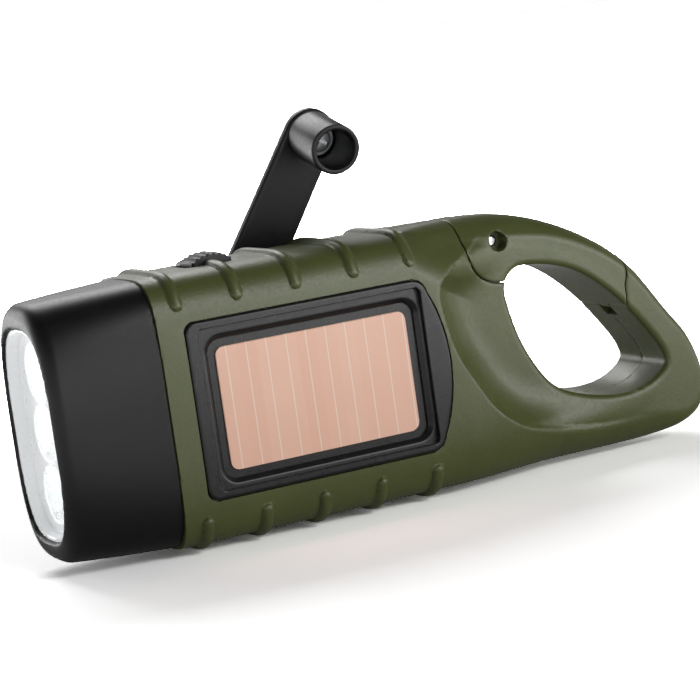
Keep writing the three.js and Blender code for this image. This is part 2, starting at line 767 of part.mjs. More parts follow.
// Head shell: rounded front edge, lamp window, hollow inside, and a neck that slides into the body.
function headBezel() {
  const length = bodyStart - headFront;
  const at = (share, inset = 0) => {
    const depth = headFrontHalfDepth + (headRearHalfDepth - headFrontHalfDepth) * share ** 0.7;
    const height = headFrontHalfHeight + (headRearHalfHeight - headFrontHalfHeight) * share ** 0.6;
    const power = headFrontPower + (headRearPower - headFrontPower) * share;
    return [headFront + length * share, depth - inset, height - inset, power];
  };
  const rings = [];
  const steps = 4;
  for (let step = 0; step <= steps; step++) {
    const angle = (quarter * step) / steps;
    const share = (headEdgeRound * (1 - Math.cos(angle))) / length;
    rings.push(ringAt(...at(share, headEdgeRound * (1 - Math.sin(angle)))));
  }
  for (const share of [0.25, 0.45, 0.7, 1]) rings.push(ringAt(...at(share)));
  const neckEnd = bodyStart + neckLength;
  const neckDepth = bodyHalfDepth - wall - neckGap;
  const neckHeight = bodyHalfHeight - wall - neckGap;
  const middle = new THREE.Vector3(0, (panelWall - wall) * half, 0);
  const moved = (ring) => ring.map((point) => point.add(middle));
  const neckHalf = neckDepth - middle.y;
  const neck = loft([
    moved(ringAt(bodyStart - wall, neckHalf, neckHeight, skinPower)),
    moved(ringAt(neckEnd, neckHalf, neckHeight, skinPower)),
  ]);
  const front = headFront + lipThickness;
  const room = loft([
    ringAt(front, ...at(0.1).slice(1, 3).map((size) => size - headWall), headFrontPower),
    ringAt(bodyStart - headWall * 2, ...at(0.8).slice(1, 3).map((size) => size - headWall), headRearPower),
    ringAt(bodyStart - headWall, neckHalf - headWall, neckHeight - headWall, skinPower),
    ringAt(neckEnd + wall, neckHalf - headWall, neckHeight - headWall, skinPower),
  ]);
  const window = loft([
    ringAt(headFront - wall, lampHalfDepth + skinLap, lampHalfHeight + skinLap, lampPower, lampZ),
    ringAt(front + wall, lampHalfDepth + skinLap, lampHalfHeight + skinLap, lampPower, lampZ),
  ]);
  return cut(join(loft(rings), neck), room, window);
}

const lampPlaces = () => [1, 0, -1].map((step) => lampZ + step * lampPitch);
const boardScrewZ = lampPitch + bowlFrontRadius + postRadius * 0.3;

// Bright tray with three bowls, behind the lamp window.
function reflector() {
  const lipRear = headFront + lipThickness;
  const outer = (x, inset) => ringAt(x, lampHalfDepth - inset, lampHalfHeight - inset, lampPower, lampZ);
  const rim = cut(
    loft([outer(headFront + trayWall, skinLap), outer(trayFloorX + skinLap, skinLap)]),
    loft([outer(headFront, trayWall), outer(trayFloorX, trayWall)]),
  );
  const flange = loft([outer(lipRear, -trayWall * half), outer(trayFloorX + trayFloorThickness, -trayWall * half)]);
  const mouth = loft([outer(lipRear - wall, trayWall), outer(trayFloorX, trayWall)]);
  const bowls = lampPlaces().map((z) =>
    rodX(0, z, trayFloorX + skinLap, boardFrontX, bowlFrontRadius + bowlWall * half, bowlRearRadius + bowlWall),
  );
  const posts = [1, -1].map((side) => rodX(0, lampZ + side * boardScrewZ, trayFloorX + skinLap, boardFrontX, postRadius));
  const bores = lampPlaces().map((z) =>
    rodX(0, z, trayFloorX - skinLap, boardFrontX + skinLap, bowlFrontRadius, bowlRearRadius),
  );
  const pilots = [1, -1].map((side) =>
    rodX(0, lampZ + side * boardScrewZ, boardFrontX - bossRadius * 2, boardFrontX + wall, smallScrewRadius + contactGap),
  );
  return cut(join(rim, cut(flange, mouth), ...bowls, ...posts), ...bores, ...pilots);
}

// Clear collimator: domed front with a flange, a cone behind it and a pocket for the diode.
function lens(z) {
  const rear = boardFrontX - ledBaseThickness - ledDomeRadius * half;
  const flangeFront = trayFloorX - lensFlangeThickness;
  const slopeShare = (bowlFrontRadius - bowlRearRadius) / (boardFrontX - trayFloorX);
  const rearRadius = bowlFrontRadius - slopeShare * (rear - trayFloorX) - gateGap;
  const profile = [
    [0, flangeFront - lensDome], [lensFlangeRadius * 0.5, flangeFront - lensDome * 0.75],
    [lensFlangeRadius * 0.85, flangeFront - lensDome * 0.2], [lensFlangeRadius, flangeFront],
    [lensFlangeRadius, trayFloorX], [bowlFrontRadius - gateGap, trayFloorX], [rearRadius, rear],
    [ledDomeRadius + gateGap, rear], [ledDomeRadius * half, rear - ledDomeRadius * 1.2], [0, rear - ledDomeRadius * 1.4],
  ];
  const points = profile.map(([radius, x]) => new THREE.Vector2(radius, x));
  const geometry = new THREE.LatheGeometry(points, rodSides);
  return solidOf(geometry.rotateZ(-quarter).translate(0, 0, z));
}

function led(z) {
  const base = block(
    boardFrontX - ledBaseThickness, boardFrontX, -ledSide * half, ledSide * half, z - ledSide * half, z + ledSide * half,
  );
  const dome = new THREE.SphereGeometry(ledDomeRadius, 8, 6).translate(boardFrontX - ledBaseThickness, 0, z);
  return join(base, solidOf(dome).intersect(
    block(-outside, boardFrontX - ledBaseThickness * half, -outside, outside, -outside, outside),
  ));
}

function ledBoard() {
  const ring = (x) => ringAt(x, lampHalfDepth - wall * 2, lampHalfHeight - skinLap, lampPower, lampZ);
  const bores = [1, -1].map((side) =>
    rodX(0, lampZ + side * boardScrewZ, boardFrontX - wall, boardFrontX + wall * 2, smallScrewRadius + contactGap * 2),
  );
  return cut(loft([ring(boardFrontX), ring(boardFrontX + boardThickness)]), ...bores);
}

// Panel frame: wide rim, a step, a sloped inner bezel and a skirt that drops into the housing.
function panelFrame() {
  const flange = plateY0(panelShape(0), panelFaceY, panelSeatY);
  const skirt = plateY0(panelShape(panelLap), panelSeatY - panelClearance, panelBackY);
  const hookHalf = panelHalfHeight - panelLap;
  const hooks = [1, -1].map((side) => {
    const [low, high] = [side * (hookHalf - wall), side * (hookHalf + panelLap * half)].sort((a, b) => a - b);
    return block(
      cellLeft + bossRadius * 4, cellLeft + bossRadius * 8, panelHookY, panelHookY + wall * half, panelZ + low, panelZ + high,
    );
  });
  const rimEdge = roundedRectangle(rimLeft, rimRight, panelZ - rimHalfHeight, panelZ + rimHalfHeight, panelCornerRadius * half);
  const bezelEdge = roundedRectangle(bezelLeft, bezelRight, bezelBottom, bezelTop, bezelCornerRadius);
  const backing = backingShape(contactGap * 2);
  return cut(
    join(flange, skirt, ...hooks),
    plateY0(rimEdge, -outside, panelFaceY + rimStep),
    plateY0(bezelEdge, -outside, cellBackY + cellThickness),
    plateY0(backing, cellBackY, outside),
  );
}

const backingShape = (grow) => roundedRectangle(
  bezelLeft - backingMargin - grow, bezelRight + backingMargin + grow, bezelBottom - backingMargin - grow,
  bezelTop + backingMargin + grow, wall,
);

const solarBacking = () => plateY0(backingShape(0), cellBackY, cellBackY + backingThickness);

const solarCell = () => plateY0(
  roundedRectangle(cellLeft, cellRight, cellBottom, cellTop, cellCornerRadius), cellBackY - cellThickness, cellBackY,
);

// Push button with an arched top and a flange below the housing's wall.
function switchButton() {
  const stemTop = bodyHalfHeight - wall - contactGap * 2;
  const flangeLow = stemTop - buttonFlangeThickness;
  const endTop = bodyHalfHeight + buttonEndRise;
  const arch = new THREE.Shape();
  arch.moveTo(buttonLeft, flangeLow);
  arch.lineTo(buttonRight, flangeLow);
  arch.lineTo(buttonRight, endTop);
  arch.quadraticCurveTo(buttonX, endTop + (buttonCrown - buttonEndRise) * 2, buttonLeft, endTop);
  return join(
    plateY0(arch, -buttonHalf, buttonHalf, 8),
    block(
      buttonLeft - buttonFlange, buttonRight + buttonFlange, -buttonHalf - buttonFlange, buttonHalf + buttonFlange,
      flangeLow, stemTop,
    ),
    rodZ(buttonX, 0, plungerTop, flangeLow + skinLap, plungerRadius + buttonGap),
  );
}

const buttonX = (buttonLeft + buttonRight) * half;
const tactPlunger = () => rodZ(buttonX, 0, plungerTop - plungerLength, plungerTop, plungerRadius);

function tactSwitch() {
  const side = switchSide * half;
  const box = block(buttonX - side, buttonX + side, mainBoardY + mainBoardThickness, switchReach, switchBottom, switchTop);
  return cut(box, rodZ(buttonX, 0, plungerTop - plungerLength * 1.6, outside, plungerRadius + contactGap * 2));
}

const mainBoard = () =>
  block(mainBoardLeft, mainBoardRight, mainBoardY, mainBoardY + mainBoardThickness, -mainBoardHalf, mainBoardHalf);

function batteryHolder() {
  const floor = mainBoardY + mainBoardThickness;
  const cup = rodY(batteryX, batteryZ, floor, floor + holderDepth, batteryRadius + holderWall, fineSides);
  return cut(cup, rodY(batteryX, batteryZ, floor + holderFloor, outside, batteryRadius + contactGap * 4, fineSides));
}

function battery() {
  const floor = mainBoardY + mainBoardThickness + holderFloor;
  return rodY(batteryX, batteryZ, floor, floor + batteryThickness, batteryRadius, fineSides);
}

const pitchRadius = (teeth) => (teeth * gearModule) / 2;
const idlerX = hubX + pitchRadius(driveTeeth) + pitchRadius(idlerPinionTeeth);
const rotorX = idlerX + pitchRadius(idlerWheelTeeth) + pitchRadius(rotorTeeth);
const gearPosts = () => [
  [platePostX, platePostZ], [platePostX, -platePostZ], [platePostFarX, platePostFarZ], [platePostFarX, -platePostFarZ],
];

// Spur gear with straight-sided teeth, its first tooth or gap towards +X.
function gear(teeth, x, y, thickness, gapFirst) {
  const root = pitchRadius(teeth) - gearModule * dedendumShare;
  const tip = pitchRadius(teeth) + gearModule * addendumShare;
  const points = [];
  for (let i = 0; i < teeth; i++) {
    const middle = i + (gapFirst ? half : 0);
    const corners = [[root, -toothShares[0]], [tip, -toothShares[1]], [tip, toothShares[1]], [root, toothShares[0]]];
    for (const [radius, offset] of corners) {
      const angle = ((middle + offset) / teeth) * turn;
      points.push(new THREE.Vector2(x + radius * Math.cos(angle), radius * Math.sin(angle)));
    }
  }
  return plateY0(new THREE.Shape(points), y, y + thickness);
}

function driveGear() {
  const square = new THREE.BoxGeometry(shaftSquare + contactGap * 2, outside, shaftSquare + contactGap * 2);
  const bore = solidOf(square.rotateY(crankTurn).translate(hubX, 0, 0));
  const ring = rodY(hubX, 0, driveGearY - wall * half, driveGearY + skinLap, shaftRadius + wall);
  return cut(join(gear(driveTeeth, hubX, driveGearY, driveGearThickness, false), ring), bore);
}

function idlerGear() {
  const sleeve = rodY(idlerX, 0, plateY + plateThickness + contactGap, idlerPinionY + wall, pinRadius + wall * half);
  return cut(
    join(
      gear(idlerPinionTeeth, idlerX, idlerWheelY + wall, idlerPinionY - idlerWheelY - wall + idlerPinionThickness, true),
      gear(idlerWheelTeeth, idlerX, idlerWheelY, idlerWheelThickness, false),
      sleeve,
    ),
    rodY(idlerX, 0, -outside, outside, pinRadius + contactGap * 2),
  );
}

const idlerPin = () => rodY(idlerX, 0, plateY, bodyHalfDepth - wall * half, pinRadius);

function rotor() {
  const shaftEnd = bodyHalfDepth - wall - gateGap;
  return join(
    gear(rotorTeeth, rotorX, rotorPinionY, rotorPinionThickness, true),
    rodY(rotorX, 0, rotorFrontY, shaftEnd, rotorShaftRadius),
  );
}

const rotorMagnet = () =>
  tubeY(rotorX, 0, rotorFrontY, rotorFrontY + magnetLength, magnetRadius, rotorShaftRadius + contactGap);

function gearPlate() {
  const shape = roundedRectangle(plateLeft, plateRight, -plateHalf, plateHalf, plateCorner);
  return cut(
    plateY0(shape, plateY, plateY + plateThickness),
    rodY(idlerX, 0, 0, outside, pinRadius + contactGap),
    rodY(rotorX, 0, 0, outside, rotorShaftRadius + contactGap * 2),
    ...gearPosts().map(([x, z]) => rodY(x, z, 0, outside, smallScrewRadius + contactGap * 2)),
  );
}

// Spool with a flange at each end, on the front of the gear plate.
function statorBobbin() {
  return cut(
    rodY(rotorX, 0, bobbinFrontY, plateY, bobbinRadius, fineSides),
    tubeY(rotorX, 0, bobbinFrontY + bobbinWall, plateY - bobbinWall, outside, bobbinBore + bobbinWall, fineSides),
    rodY(rotorX, 0, -outside, outside, bobbinBore, fineSides),
  );
}

const statorCoil = () => tubeY(
  rotorX, 0, bobbinFrontY + bobbinWall, plateY - bobbinWall, coilRadius, bobbinBore + bobbinWall + contactGap * 2, fineSides,
);

// Screw along Y with a cross recess: its head sits at seatY, towards side, and its shank runs to endY.
function screwY(x, z, seatY, endY, radius, headRadius, headHeight, side) {
  const order = (a, b) => (a < b ? [a, b] : [b, a]);
  const head = rodY(x, z, ...order(seatY, seatY + side * headHeight), headRadius, screwSides);
  const shank = rodY(x, z, ...order(seatY + side * skinLap, endY), radius, screwSides);
  const outer = seatY + side * headHeight;
  const depth = order(outer - side * headHeight * recessDepthShare, outer + side * headHeight);
  const [reach, width] = [headRadius * recessReachShare, headRadius * recessWidthShare * half];
  return cut(
    join(head, shank),
    block(x - reach, x + reach, ...depth, z - width, z + width),
    block(x - width, x + width, ...depth, z - reach, z + reach),
  );
}

const boardScrew = (side) => {
  const made = screwY(0, 0, 0, -bossRadius * 2, smallScrewRadius, smallHeadRadius, smallHeadHeight, 1);
  const geometry = geometryOf(made).rotateZ(-quarter);
  return solidOf(geometry.translate(boardFrontX + boardThickness, 0, lampZ + side * boardScrewZ));
};

// Torsion spring round the gate pin.
function gateSpring() {
  const points = [];
  const steps = 30;
  const start = tongueHalf + gateGap + springWireRadius;
  const end = springPocketEnd - gateGap - springWireRadius;
  for (let i = 0; i <= steps; i++) {
    const angle = (i / steps) * springTurns * turn;
    const y = start + ((end - start) * i) / steps;
    points.push(new THREE.Vector3(
      hingeX + springCoilRadius * Math.cos(angle), y, hingeZ + springCoilRadius * Math.sin(angle),
    ));
  }
  const wire = new THREE.Shape();
  wire.absarc(0, 0, springWireRadius, 0, turn, false);
  const path = new THREE.CatmullRomCurve3(points);
  return solidOf(new THREE.ExtrudeGeometry(wire, { steps: 30, extrudePath: path, curveSegments: 2, bevelEnabled: false }));
}

function hubBush() {
  const face = bodyHalfDepth + bushFlangeThickness;
  return cut(
    join(
      rodY(hubX, 0, driveGearY + driveGearThickness + gateGap, bodyHalfDepth + skinLap, bushSleeveRadius),
      rodY(hubX, 0, bodyHalfDepth, face, bushFlangeRadius),
    ),
    rodY(hubX, 0, 0, outside, bushBore),
  );
}

// Crank hub about its own axis: disc, two ears for the fold pin, and the shaft that goes through the wall.
function crankHub() {
  const base = bodyHalfDepth + bushFlangeThickness;
  const top = base + hubThickness;
  const profile = [
    [0, base], [hubRadius - hubSoftEdge, base], [hubRadius, base + hubSoftEdge], [hubRadius, top - hubSoftEdge],
    [hubRadius - hubSoftEdge, top], [0, top],
  ].map(([radius, y]) => new THREE.Vector2(radius, y));
  const disc = solidOf(new THREE.LatheGeometry(profile, fineSides));
  const ears = [1, -1].map((side) => {
    const [low, high] = side > 0 ? [earInner, earOuter] : [-earOuter, -earInner];
    const web = block(low, high, top - hubSoftEdge, foldPinY, -earRadius, earRadius);
    const cap = new THREE.CylinderGeometry(earRadius, earRadius, high - low, 20).rotateZ(quarter);
    return join(web, solidOf(cap.translate((low + high) * half, foldPinY, 0)));
  });
  const shaft = rodY(0, 0, driveGearY + driveGearThickness + contactGap, base + skinLap, shaftRadius);
  const square = block(
    -shaftSquare * half, shaftSquare * half, driveGearY, base, -shaftSquare * half, shaftSquare * half,
  );
  const pinBore = new THREE.CylinderGeometry(foldPinRadius + contactGap, foldPinRadius + contactGap, outside, 20);
  return cut(
    join(disc, ...ears, shaft, square),
    solidOf(pinBore.rotateZ(quarter).translate(0, foldPinY, 0)),
    rodY(0, 0, 0, bodyHalfDepth - wall, smallScrewRadius + contactGap),
  );
}

const hubScrew = () => screwY(
  0, 0, driveGearY - wall * half, bodyHalfDepth - wall * 2, smallScrewRadius, shaftRadius, smallHeadHeight, -1,
);

function foldPin() {
  const pin = new THREE.CylinderGeometry(foldPinRadius, foldPinRadius, earOuter * 2, 20);
  return solidOf(pin.rotateZ(quarter));
}

// Crank arm about its fold pin: barrel, tapered flat with soft edges, and a round tip that takes the knob.
function crankArm() {
  const shape = new THREE.Shape();
  const lean = Math.asin((armRootHalf - armTipRadius) / armLength);
  shape.moveTo(-armRootHalf, 0);
  shape.lineTo(armRootHalf, 0);
  shape.absarc(0, armLength, armTipRadius, lean, Math.PI - lean, false);
  const flat = new THREE.ExtrudeGeometry(shape, {
    depth: armThickness - armEdge * 2,
    bevelThickness: armEdge,
    bevelSize: armEdge,
    bevelOffset: -armEdge,
    bevelSegments: 1,
    curveSegments: 12,
  });
  const arm = solidOf(flat.rotateX(quarter).translate(0, armThickness * half - armEdge, 0));
  const barrel = new THREE.CylinderGeometry(barrelRadius, barrelRadius, barrelHalf * 2, 24).rotateZ(quarter);
  const bore = new THREE.CylinderGeometry(foldPinRadius + contactGap, foldPinRadius + contactGap, outside, 20);
  return cut(
    join(arm, solidOf(barrel)),
    solidOf(bore.rotateZ(quarter)),
    rodY(0, armLength, -outside, armThickness * half - armEdge * 2, knobScrewRadius + contactGap),
  );
}

const knobTop = -armThickness * half - knobGap;

function crankKnob() {
  return cut(
    rodY(0, armLength, knobTop - knobLength, knobTop, knobRadius, fineSides),
    rodY(0, armLength, knobTop - outside, knobTop - knobBase, knobRadius - knobWall, fineSides),
    rodY(0, armLength, knobTop - outside, knobTop + wall, knobBore),
  );
}

const washerTop = knobTop - knobBase - contactGap;
const knobWasher = () => tubeY(
  0, armLength, washerTop - knobWasherThickness, washerTop, knobWasherRadius, knobScrewRadius + contactGap,
);

const knobScrew = () => screwY(
  0, armLength, washerTop - knobWasherThickness - contactGap, armThickness * half - armEdge * 2 - contactGap,
  knobScrewRadius, knobHeadRadius, knobHeadHeight, -1,
);

const finish = (color, roughness, metalness = 0) => new THREE.MeshStandardMaterial({ color, roughness, metalness });
const green = () => finish(0x4b5230, 0.5);
const black = () => finish(0x1b1b1c, 0.45);
const steel = () => finish(0xb9bcc0, 0.25, 1);
const boardGreen = () => finish(0x1f5a35, 0.5);
const nylon = () => finish(0xe3e0d6, 0.5);

// The measuring frame has rib 1 at x = 0. The part's frame starts on the crest of the middle rib's lower side.
const flashlight = new THREE.Group();
flashlight.position.set(-ribPitch * (ribCount - 1) * half, 0, bodyHalfHeight + ribRise);

const crankGroup = new THREE.Group();
crankGroup.position.set(hubX, 0, 0);
crankGroup.rotation.y = crankTurn;
flashlight.add(crankGroup);

const armGroup = new THREE.Group();
armGroup.position.set(0, foldPinY, 0);
armGroup.rotation.x = armSlope;
crankGroup.add(armGroup);

function place(name, solid, material, group = flashlight) {
  const mesh = new THREE.Mesh(geometryOf(solid), material);
  mesh.name = name;
  group.add(mesh);
}

const loop = loopForm();
const shell = shellBody(outerForm(), loop);
place("front_housing", frontHousing(shell), green());
place("rear_housing", rearHousing(shell), green());
place("carabiner_gate", gateSolid(loop), green());
place("gate_pin", rodY(hingeX, hingeZ, -gatePinHalf, gatePinHalf, gatePinRadius), steel());
place("gate_spring", gateSpring(), steel());
place("head_bezel", headBezel(), black());
place("reflector", reflector(), finish(0xe8e9ea, 0.15, 1));
lampPlaces().forEach((z, i) => {
  place("lens_" + (i + 1), lens(z), finish(0xf4f6f8, 0.05));
  place("led_" + (i + 1), led(z), finish(0xf2e9a8, 0.4));
});
place("led_board", ledBoard(), boardGreen());
place("board_screw_1", boardScrew(1), steel());
place("board_screw_2", boardScrew(-1), steel());
place("panel_frame", panelFrame(), black());
place("solar_backing", solarBacking(), black());
place("solar_cell", solarCell(), finish(0xd0a288, 0.35));
place("switch_button", switchButton(), black());
place("switch_plunger", tactPlunger(), nylon());
place("switch_body", tactSwitch(), black());
place("main_board", mainBoard(), boardGreen());
place("battery_holder", batteryHolder(), black());
place("battery", battery(), steel());
place("hub_bush", hubBush(), nylon());
place("crank_hub", crankHub(), black(), crankGroup);
place("hub_screw", hubScrew(), steel(), crankGroup);
place("drive_gear", driveGear(), nylon());
place("fold_pin", foldPin(), steel(), armGroup);
place("crank_arm", crankArm(), black(), armGroup);
place("crank_knob", crankKnob(), black(), armGroup);
place("knob_washer", knobWasher(), steel(), armGroup);
place("knob_screw", knobScrew(), steel(), armGroup);
place("idler_gear", idlerGear(), nylon());
place("idler_pin", idlerPin(), steel());
place("rotor", rotor(), nylon());
place("rotor_magnet", rotorMagnet(), finish(0x55585c, 0.4, 1));
place("gear_plate", gearPlate(), steel());
place("stator_bobbin", statorBobbin(), nylon());
place("stator_coil", statorCoil(), finish(0xb5703a, 0.4, 1));
screwPlaces().forEach(([x, z, seat], i) => {
  place(
    "housing_screw_" + (i + 1),
    screwY(x, z, seat, screwEndY, screwRadius, screwHeadRadius, screwHeadHeight, 1),
    steel(),
  );
});
gearPosts().forEach(([x, z], i) => {
  place(
    "plate_screw_" + (i + 1),
    screwY(x, z, plateY, plateY + bossRadius * 2, smallScrewRadius, smallHeadRadius, smallHeadHeight, -1),
    steel(),
  );
});

export default flashlight;
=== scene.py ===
import bmesh
import bpy
import numpy as np
from mathutils import Matrix


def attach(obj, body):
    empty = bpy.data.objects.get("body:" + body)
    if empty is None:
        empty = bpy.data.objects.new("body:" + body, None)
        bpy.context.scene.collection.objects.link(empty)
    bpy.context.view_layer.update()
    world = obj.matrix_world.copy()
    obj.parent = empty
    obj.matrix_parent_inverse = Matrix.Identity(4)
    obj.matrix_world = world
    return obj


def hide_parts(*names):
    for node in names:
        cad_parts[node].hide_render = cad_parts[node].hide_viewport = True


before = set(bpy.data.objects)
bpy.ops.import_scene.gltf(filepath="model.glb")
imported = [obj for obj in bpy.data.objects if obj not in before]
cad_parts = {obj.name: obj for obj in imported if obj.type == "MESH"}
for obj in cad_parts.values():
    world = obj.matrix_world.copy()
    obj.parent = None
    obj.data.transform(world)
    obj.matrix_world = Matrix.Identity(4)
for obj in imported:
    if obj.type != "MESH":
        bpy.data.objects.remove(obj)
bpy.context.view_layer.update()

# Everything below is worked out in millimetres with the first rib at x = 0 and the body's middle at z = 0.
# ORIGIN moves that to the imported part's frame, and METRE turns it into metres.
ORIGIN = np.array([-24.0, 0.0, 26.5])
METRE = 0.001


# Lines, distances and meshes.

def smooth_line(points, closed=False, pieces=10):
    """A centripetal Catmull-Rom line: between two points it is a cubic whose end slopes come from the
    neighbours, each weighted by the square root of its distance."""
    points = np.asarray(points, float)
    if closed:
        points = np.concatenate([points[-1:], points, points[:2]])
    else:
        points = np.concatenate([2 * points[:1] - points[1:2], points, 2 * points[-1:] - points[-2:-1]])
    a, b, c, d = points[:-3], points[1:-2], points[2:-1], points[3:]
    gaps = np.linalg.norm(np.diff(points, axis=0), axis=1)[:, None] ** 0.5
    before, here, after = gaps[:-2], gaps[1:-1], gaps[2:]
    start = ((b - a) / before - (c - a) / (before + here) + (c - b) / here) * here
    end = ((c - b) / here - (d - b) / (here + after) + (d - c) / after) * here
    t = (np.arange(pieces) / pieces)[None, :, None]
    b, c, start, end = (item[:, None, :] for item in (b, c, start, end))
    line = (
        (2 * t**3 - 3 * t**2 + 1) * b
        + (t**3 - 2 * t**2 + t) * start
        + (3 * t**2 - 2 * t**3) * c
        + (t**3 - t**2) * end
    ).reshape(-1, 2)
    return line if closed else np.concatenate([line, points[-2:-1]])


def arc(x, z, radius, start, end, pieces=16):
    """Points at radius from (x, z), from one angle in degrees to another."""
    angle = np.radians(np.linspace(start, end, pieces))
    return np.stack([x + radius * np.cos(angle), z + radius * np.sin(angle)], 1)


def outline_map(outline, pitch=0.25, margin=12.0):
    """Signed distance to a closed outline as a table over x and z: the least distance to any of its
    edges, negative where a line towards +x crosses the outline an odd number of times. The function
    that comes back reads the table with straight-line mixing between its four nearest entries."""
    low = outline.min(0) - margin
    size = np.ceil((outline.max(0) + margin - low) / pitch).astype(int) + 1
    x = low[0] + pitch * np.arange(size[0])
    z = low[1] + pitch * np.arange(size[1])
    start, end = outline, np.roll(outline, -1, axis=0)
    along = end - start
    spot = np.stack(np.meshgrid(x, z, indexing="ij"), -1).reshape(-1, 1, 2)
    distance, inside = np.empty(len(spot)), np.empty(len(spot), bool)
    for part in np.array_split(np.arange(len(spot)), max(1, len(spot) // 20000)):
        away = spot[part] - start
        share = np.clip((away * along).sum(-1) / np.maximum((along**2).sum(-1), 1e-12), 0, 1)
        distance[part] = np.linalg.norm(away - share[..., None] * along, axis=-1).min(1)
        spans = (start[:, 1] > spot[part, :, 1]) != (end[:, 1] > spot[part, :, 1])
        rise = np.where(along[:, 1] == 0, 1e-12, along[:, 1])
        reach = start[:, 0] + along[:, 0] * (spot[part, :, 1] - start[:, 1]) / rise
        inside[part] = (spans & (reach > spot[part, :, 0])).sum(1) % 2 == 1
    table = np.where(inside, -distance, distance).reshape(size)

    def read(x, z):
        """Mixed entry of the table at x and z."""
        i = np.clip((x - low[0]) / pitch, 0, size[0] - 1.001)
        k = np.clip((z - low[1]) / pitch, 0, size[1] - 1.001)
        i0, k0 = i.astype(int), k.astype(int)
        i1, k1 = i - i0, k - k0
        near = table[i0, k0] * (1 - i1) + table[i0 + 1, k0] * i1
        far = table[i0, k0 + 1] * (1 - i1) + table[i0 + 1, k0 + 1] * i1
        return near * (1 - k1) + far * k1

    return read


def round_max(a, b, radius):
    """What two solids share, with the edge where they meet rounded by radius: a circle's distance
    where both are closer than radius, otherwise the greater of the two."""
    outside = np.hypot(np.maximum(a + radius, 0), np.maximum(b + radius, 0))
    return outside + np.minimum(np.maximum(a, b) + radius, 0) - radius


def round_min(a, b, radius):
    """Two solids joined, with a hollow fillet of the given radius."""
    return -round_max(-a, -b, radius)


def oval(y, z, half_y, half_z, power):
    """Distance to a squared oval: (|y/a|^p + |z/b|^p)^(1/p) - 1, divided by its own slope."""
    u = np.maximum(np.abs(y) / half_y, 1e-3)
    v = np.maximum(np.abs(z) / half_z, 1e-3)
    reach = (u**power + v**power) ** (1 / power)
    slope = np.hypot(u ** (power - 1) / half_y, v ** (power - 1) / half_z) / reach ** (power - 1)
    return (reach - 1) / slope


def slab(value, low, high):
    """Distance to the space between low and high."""
    return np.maximum(low - value, value - high)


def rod(x, z, radius, centre):
    """Distance to a round rod along y."""
    return np.hypot(x - centre[0], z - centre[1]) - radius


def ease(value, low, high):
    """0 below low, 1 above high and 3t^2 - 2t^3 between them."""
    t = np.clip((value - low) / (high - low), 0, 1)
    return t * t * (3 - 2 * t)


def gradient(field, spots, reach):
    """Slope of a field at each spot, from its values a little before and after it along x, y and z."""
    x, y, z = spots.T
    return np.stack([
        field(x + reach, y, z) - field(x - reach, y, z),
        field(x, y + reach, z) - field(x, y - reach, z),
        field(x, y, z + reach) - field(x, y, z - reach),
    ], 1) / (2 * reach)


def contour(field, low, high, step):
    """The surface where field is zero; it is negative inside. The field is taken on a grid, and each
    grid edge on which it changes sign holds a crossing. A cell with crossings gets one vertex, at the
    least-squares meeting point of the planes that touch the surface there, so edges stay crisp. Each
    crossed grid edge gives one quad between its four cells, wound to face out."""
    low, step = np.asarray(low, float), np.broadcast_to(step, 3)
    count = np.ceil((np.asarray(high, float) - low) / step).astype(int) + 1
    ticks = [low[k] + step[k] * np.arange(count[k]) for k in range(3)]
    grid = np.meshgrid(*ticks, indexing="ij", sparse=True)
    value = np.broadcast_to(field(*grid), count)
    spots, rounds = [], []
    for k in range(3):
        ahead = tuple(slice(1, None) if axis == k else slice(None) for axis in range(3))
        behind = tuple(slice(None, -1) if axis == k else slice(None) for axis in range(3))
        here, there = value[behind], value[ahead]
        index = np.argwhere((here < 0) != (there < 0))
        a, b = here[tuple(index.T)], there[tuple(index.T)]
        spot = index.astype(float)
        spot[:, k] += a / (a - b)
        u, v = np.eye(3, dtype=int)[(k + 1) % 3], np.eye(3, dtype=int)[(k + 2) % 3]
        cells = np.stack([index, index - u, index - u - v, index - v], 1)
        cells[a > 0] = cells[a > 0][:, ::-1]
        spots.append(spot)
        rounds.append(np.ravel_multi_index(tuple(np.moveaxis(cells, -1, 0)), count))
    spots = low + step * np.concatenate(spots)
    names, faces = np.unique(np.concatenate(rounds), return_inverse=True)
    faces = faces.reshape(-1, 4)
    slope = gradient(field, spots, step.min() * 0.05)
    slope /= np.maximum(np.linalg.norm(slope, axis=1, keepdims=True), 1e-9)

    def gather(values):
        """Sum of a value of the crossings over each cell."""
        return np.bincount(faces.ravel(), np.repeat(values, 4), len(names))

    number = gather(np.ones(len(spots)))
    middle = np.stack([gather(spots[:, k]) for k in range(3)], 1) / number[:, None]
    plane = (slope * spots).sum(1)
    square = np.empty((len(names), 3, 3))
    right = np.empty((len(names), 3))
    for k in range(3):
        for m in range(3):
            square[:, k, m] = gather(slope[:, k] * slope[:, m])
        right[:, k] = gather(slope[:, k] * plane)
    right -= (square @ middle[..., None])[..., 0]
    # A small pull towards the middle of the crossings, which settles a vertex on flat ground.
    square += 0.06 * np.eye(3)
    shift = np.linalg.solve(square, right[..., None])[..., 0]
    corner = low + step * np.stack(np.unravel_index(names, count), 1)
    return np.clip(middle + shift, corner, corner + step), faces


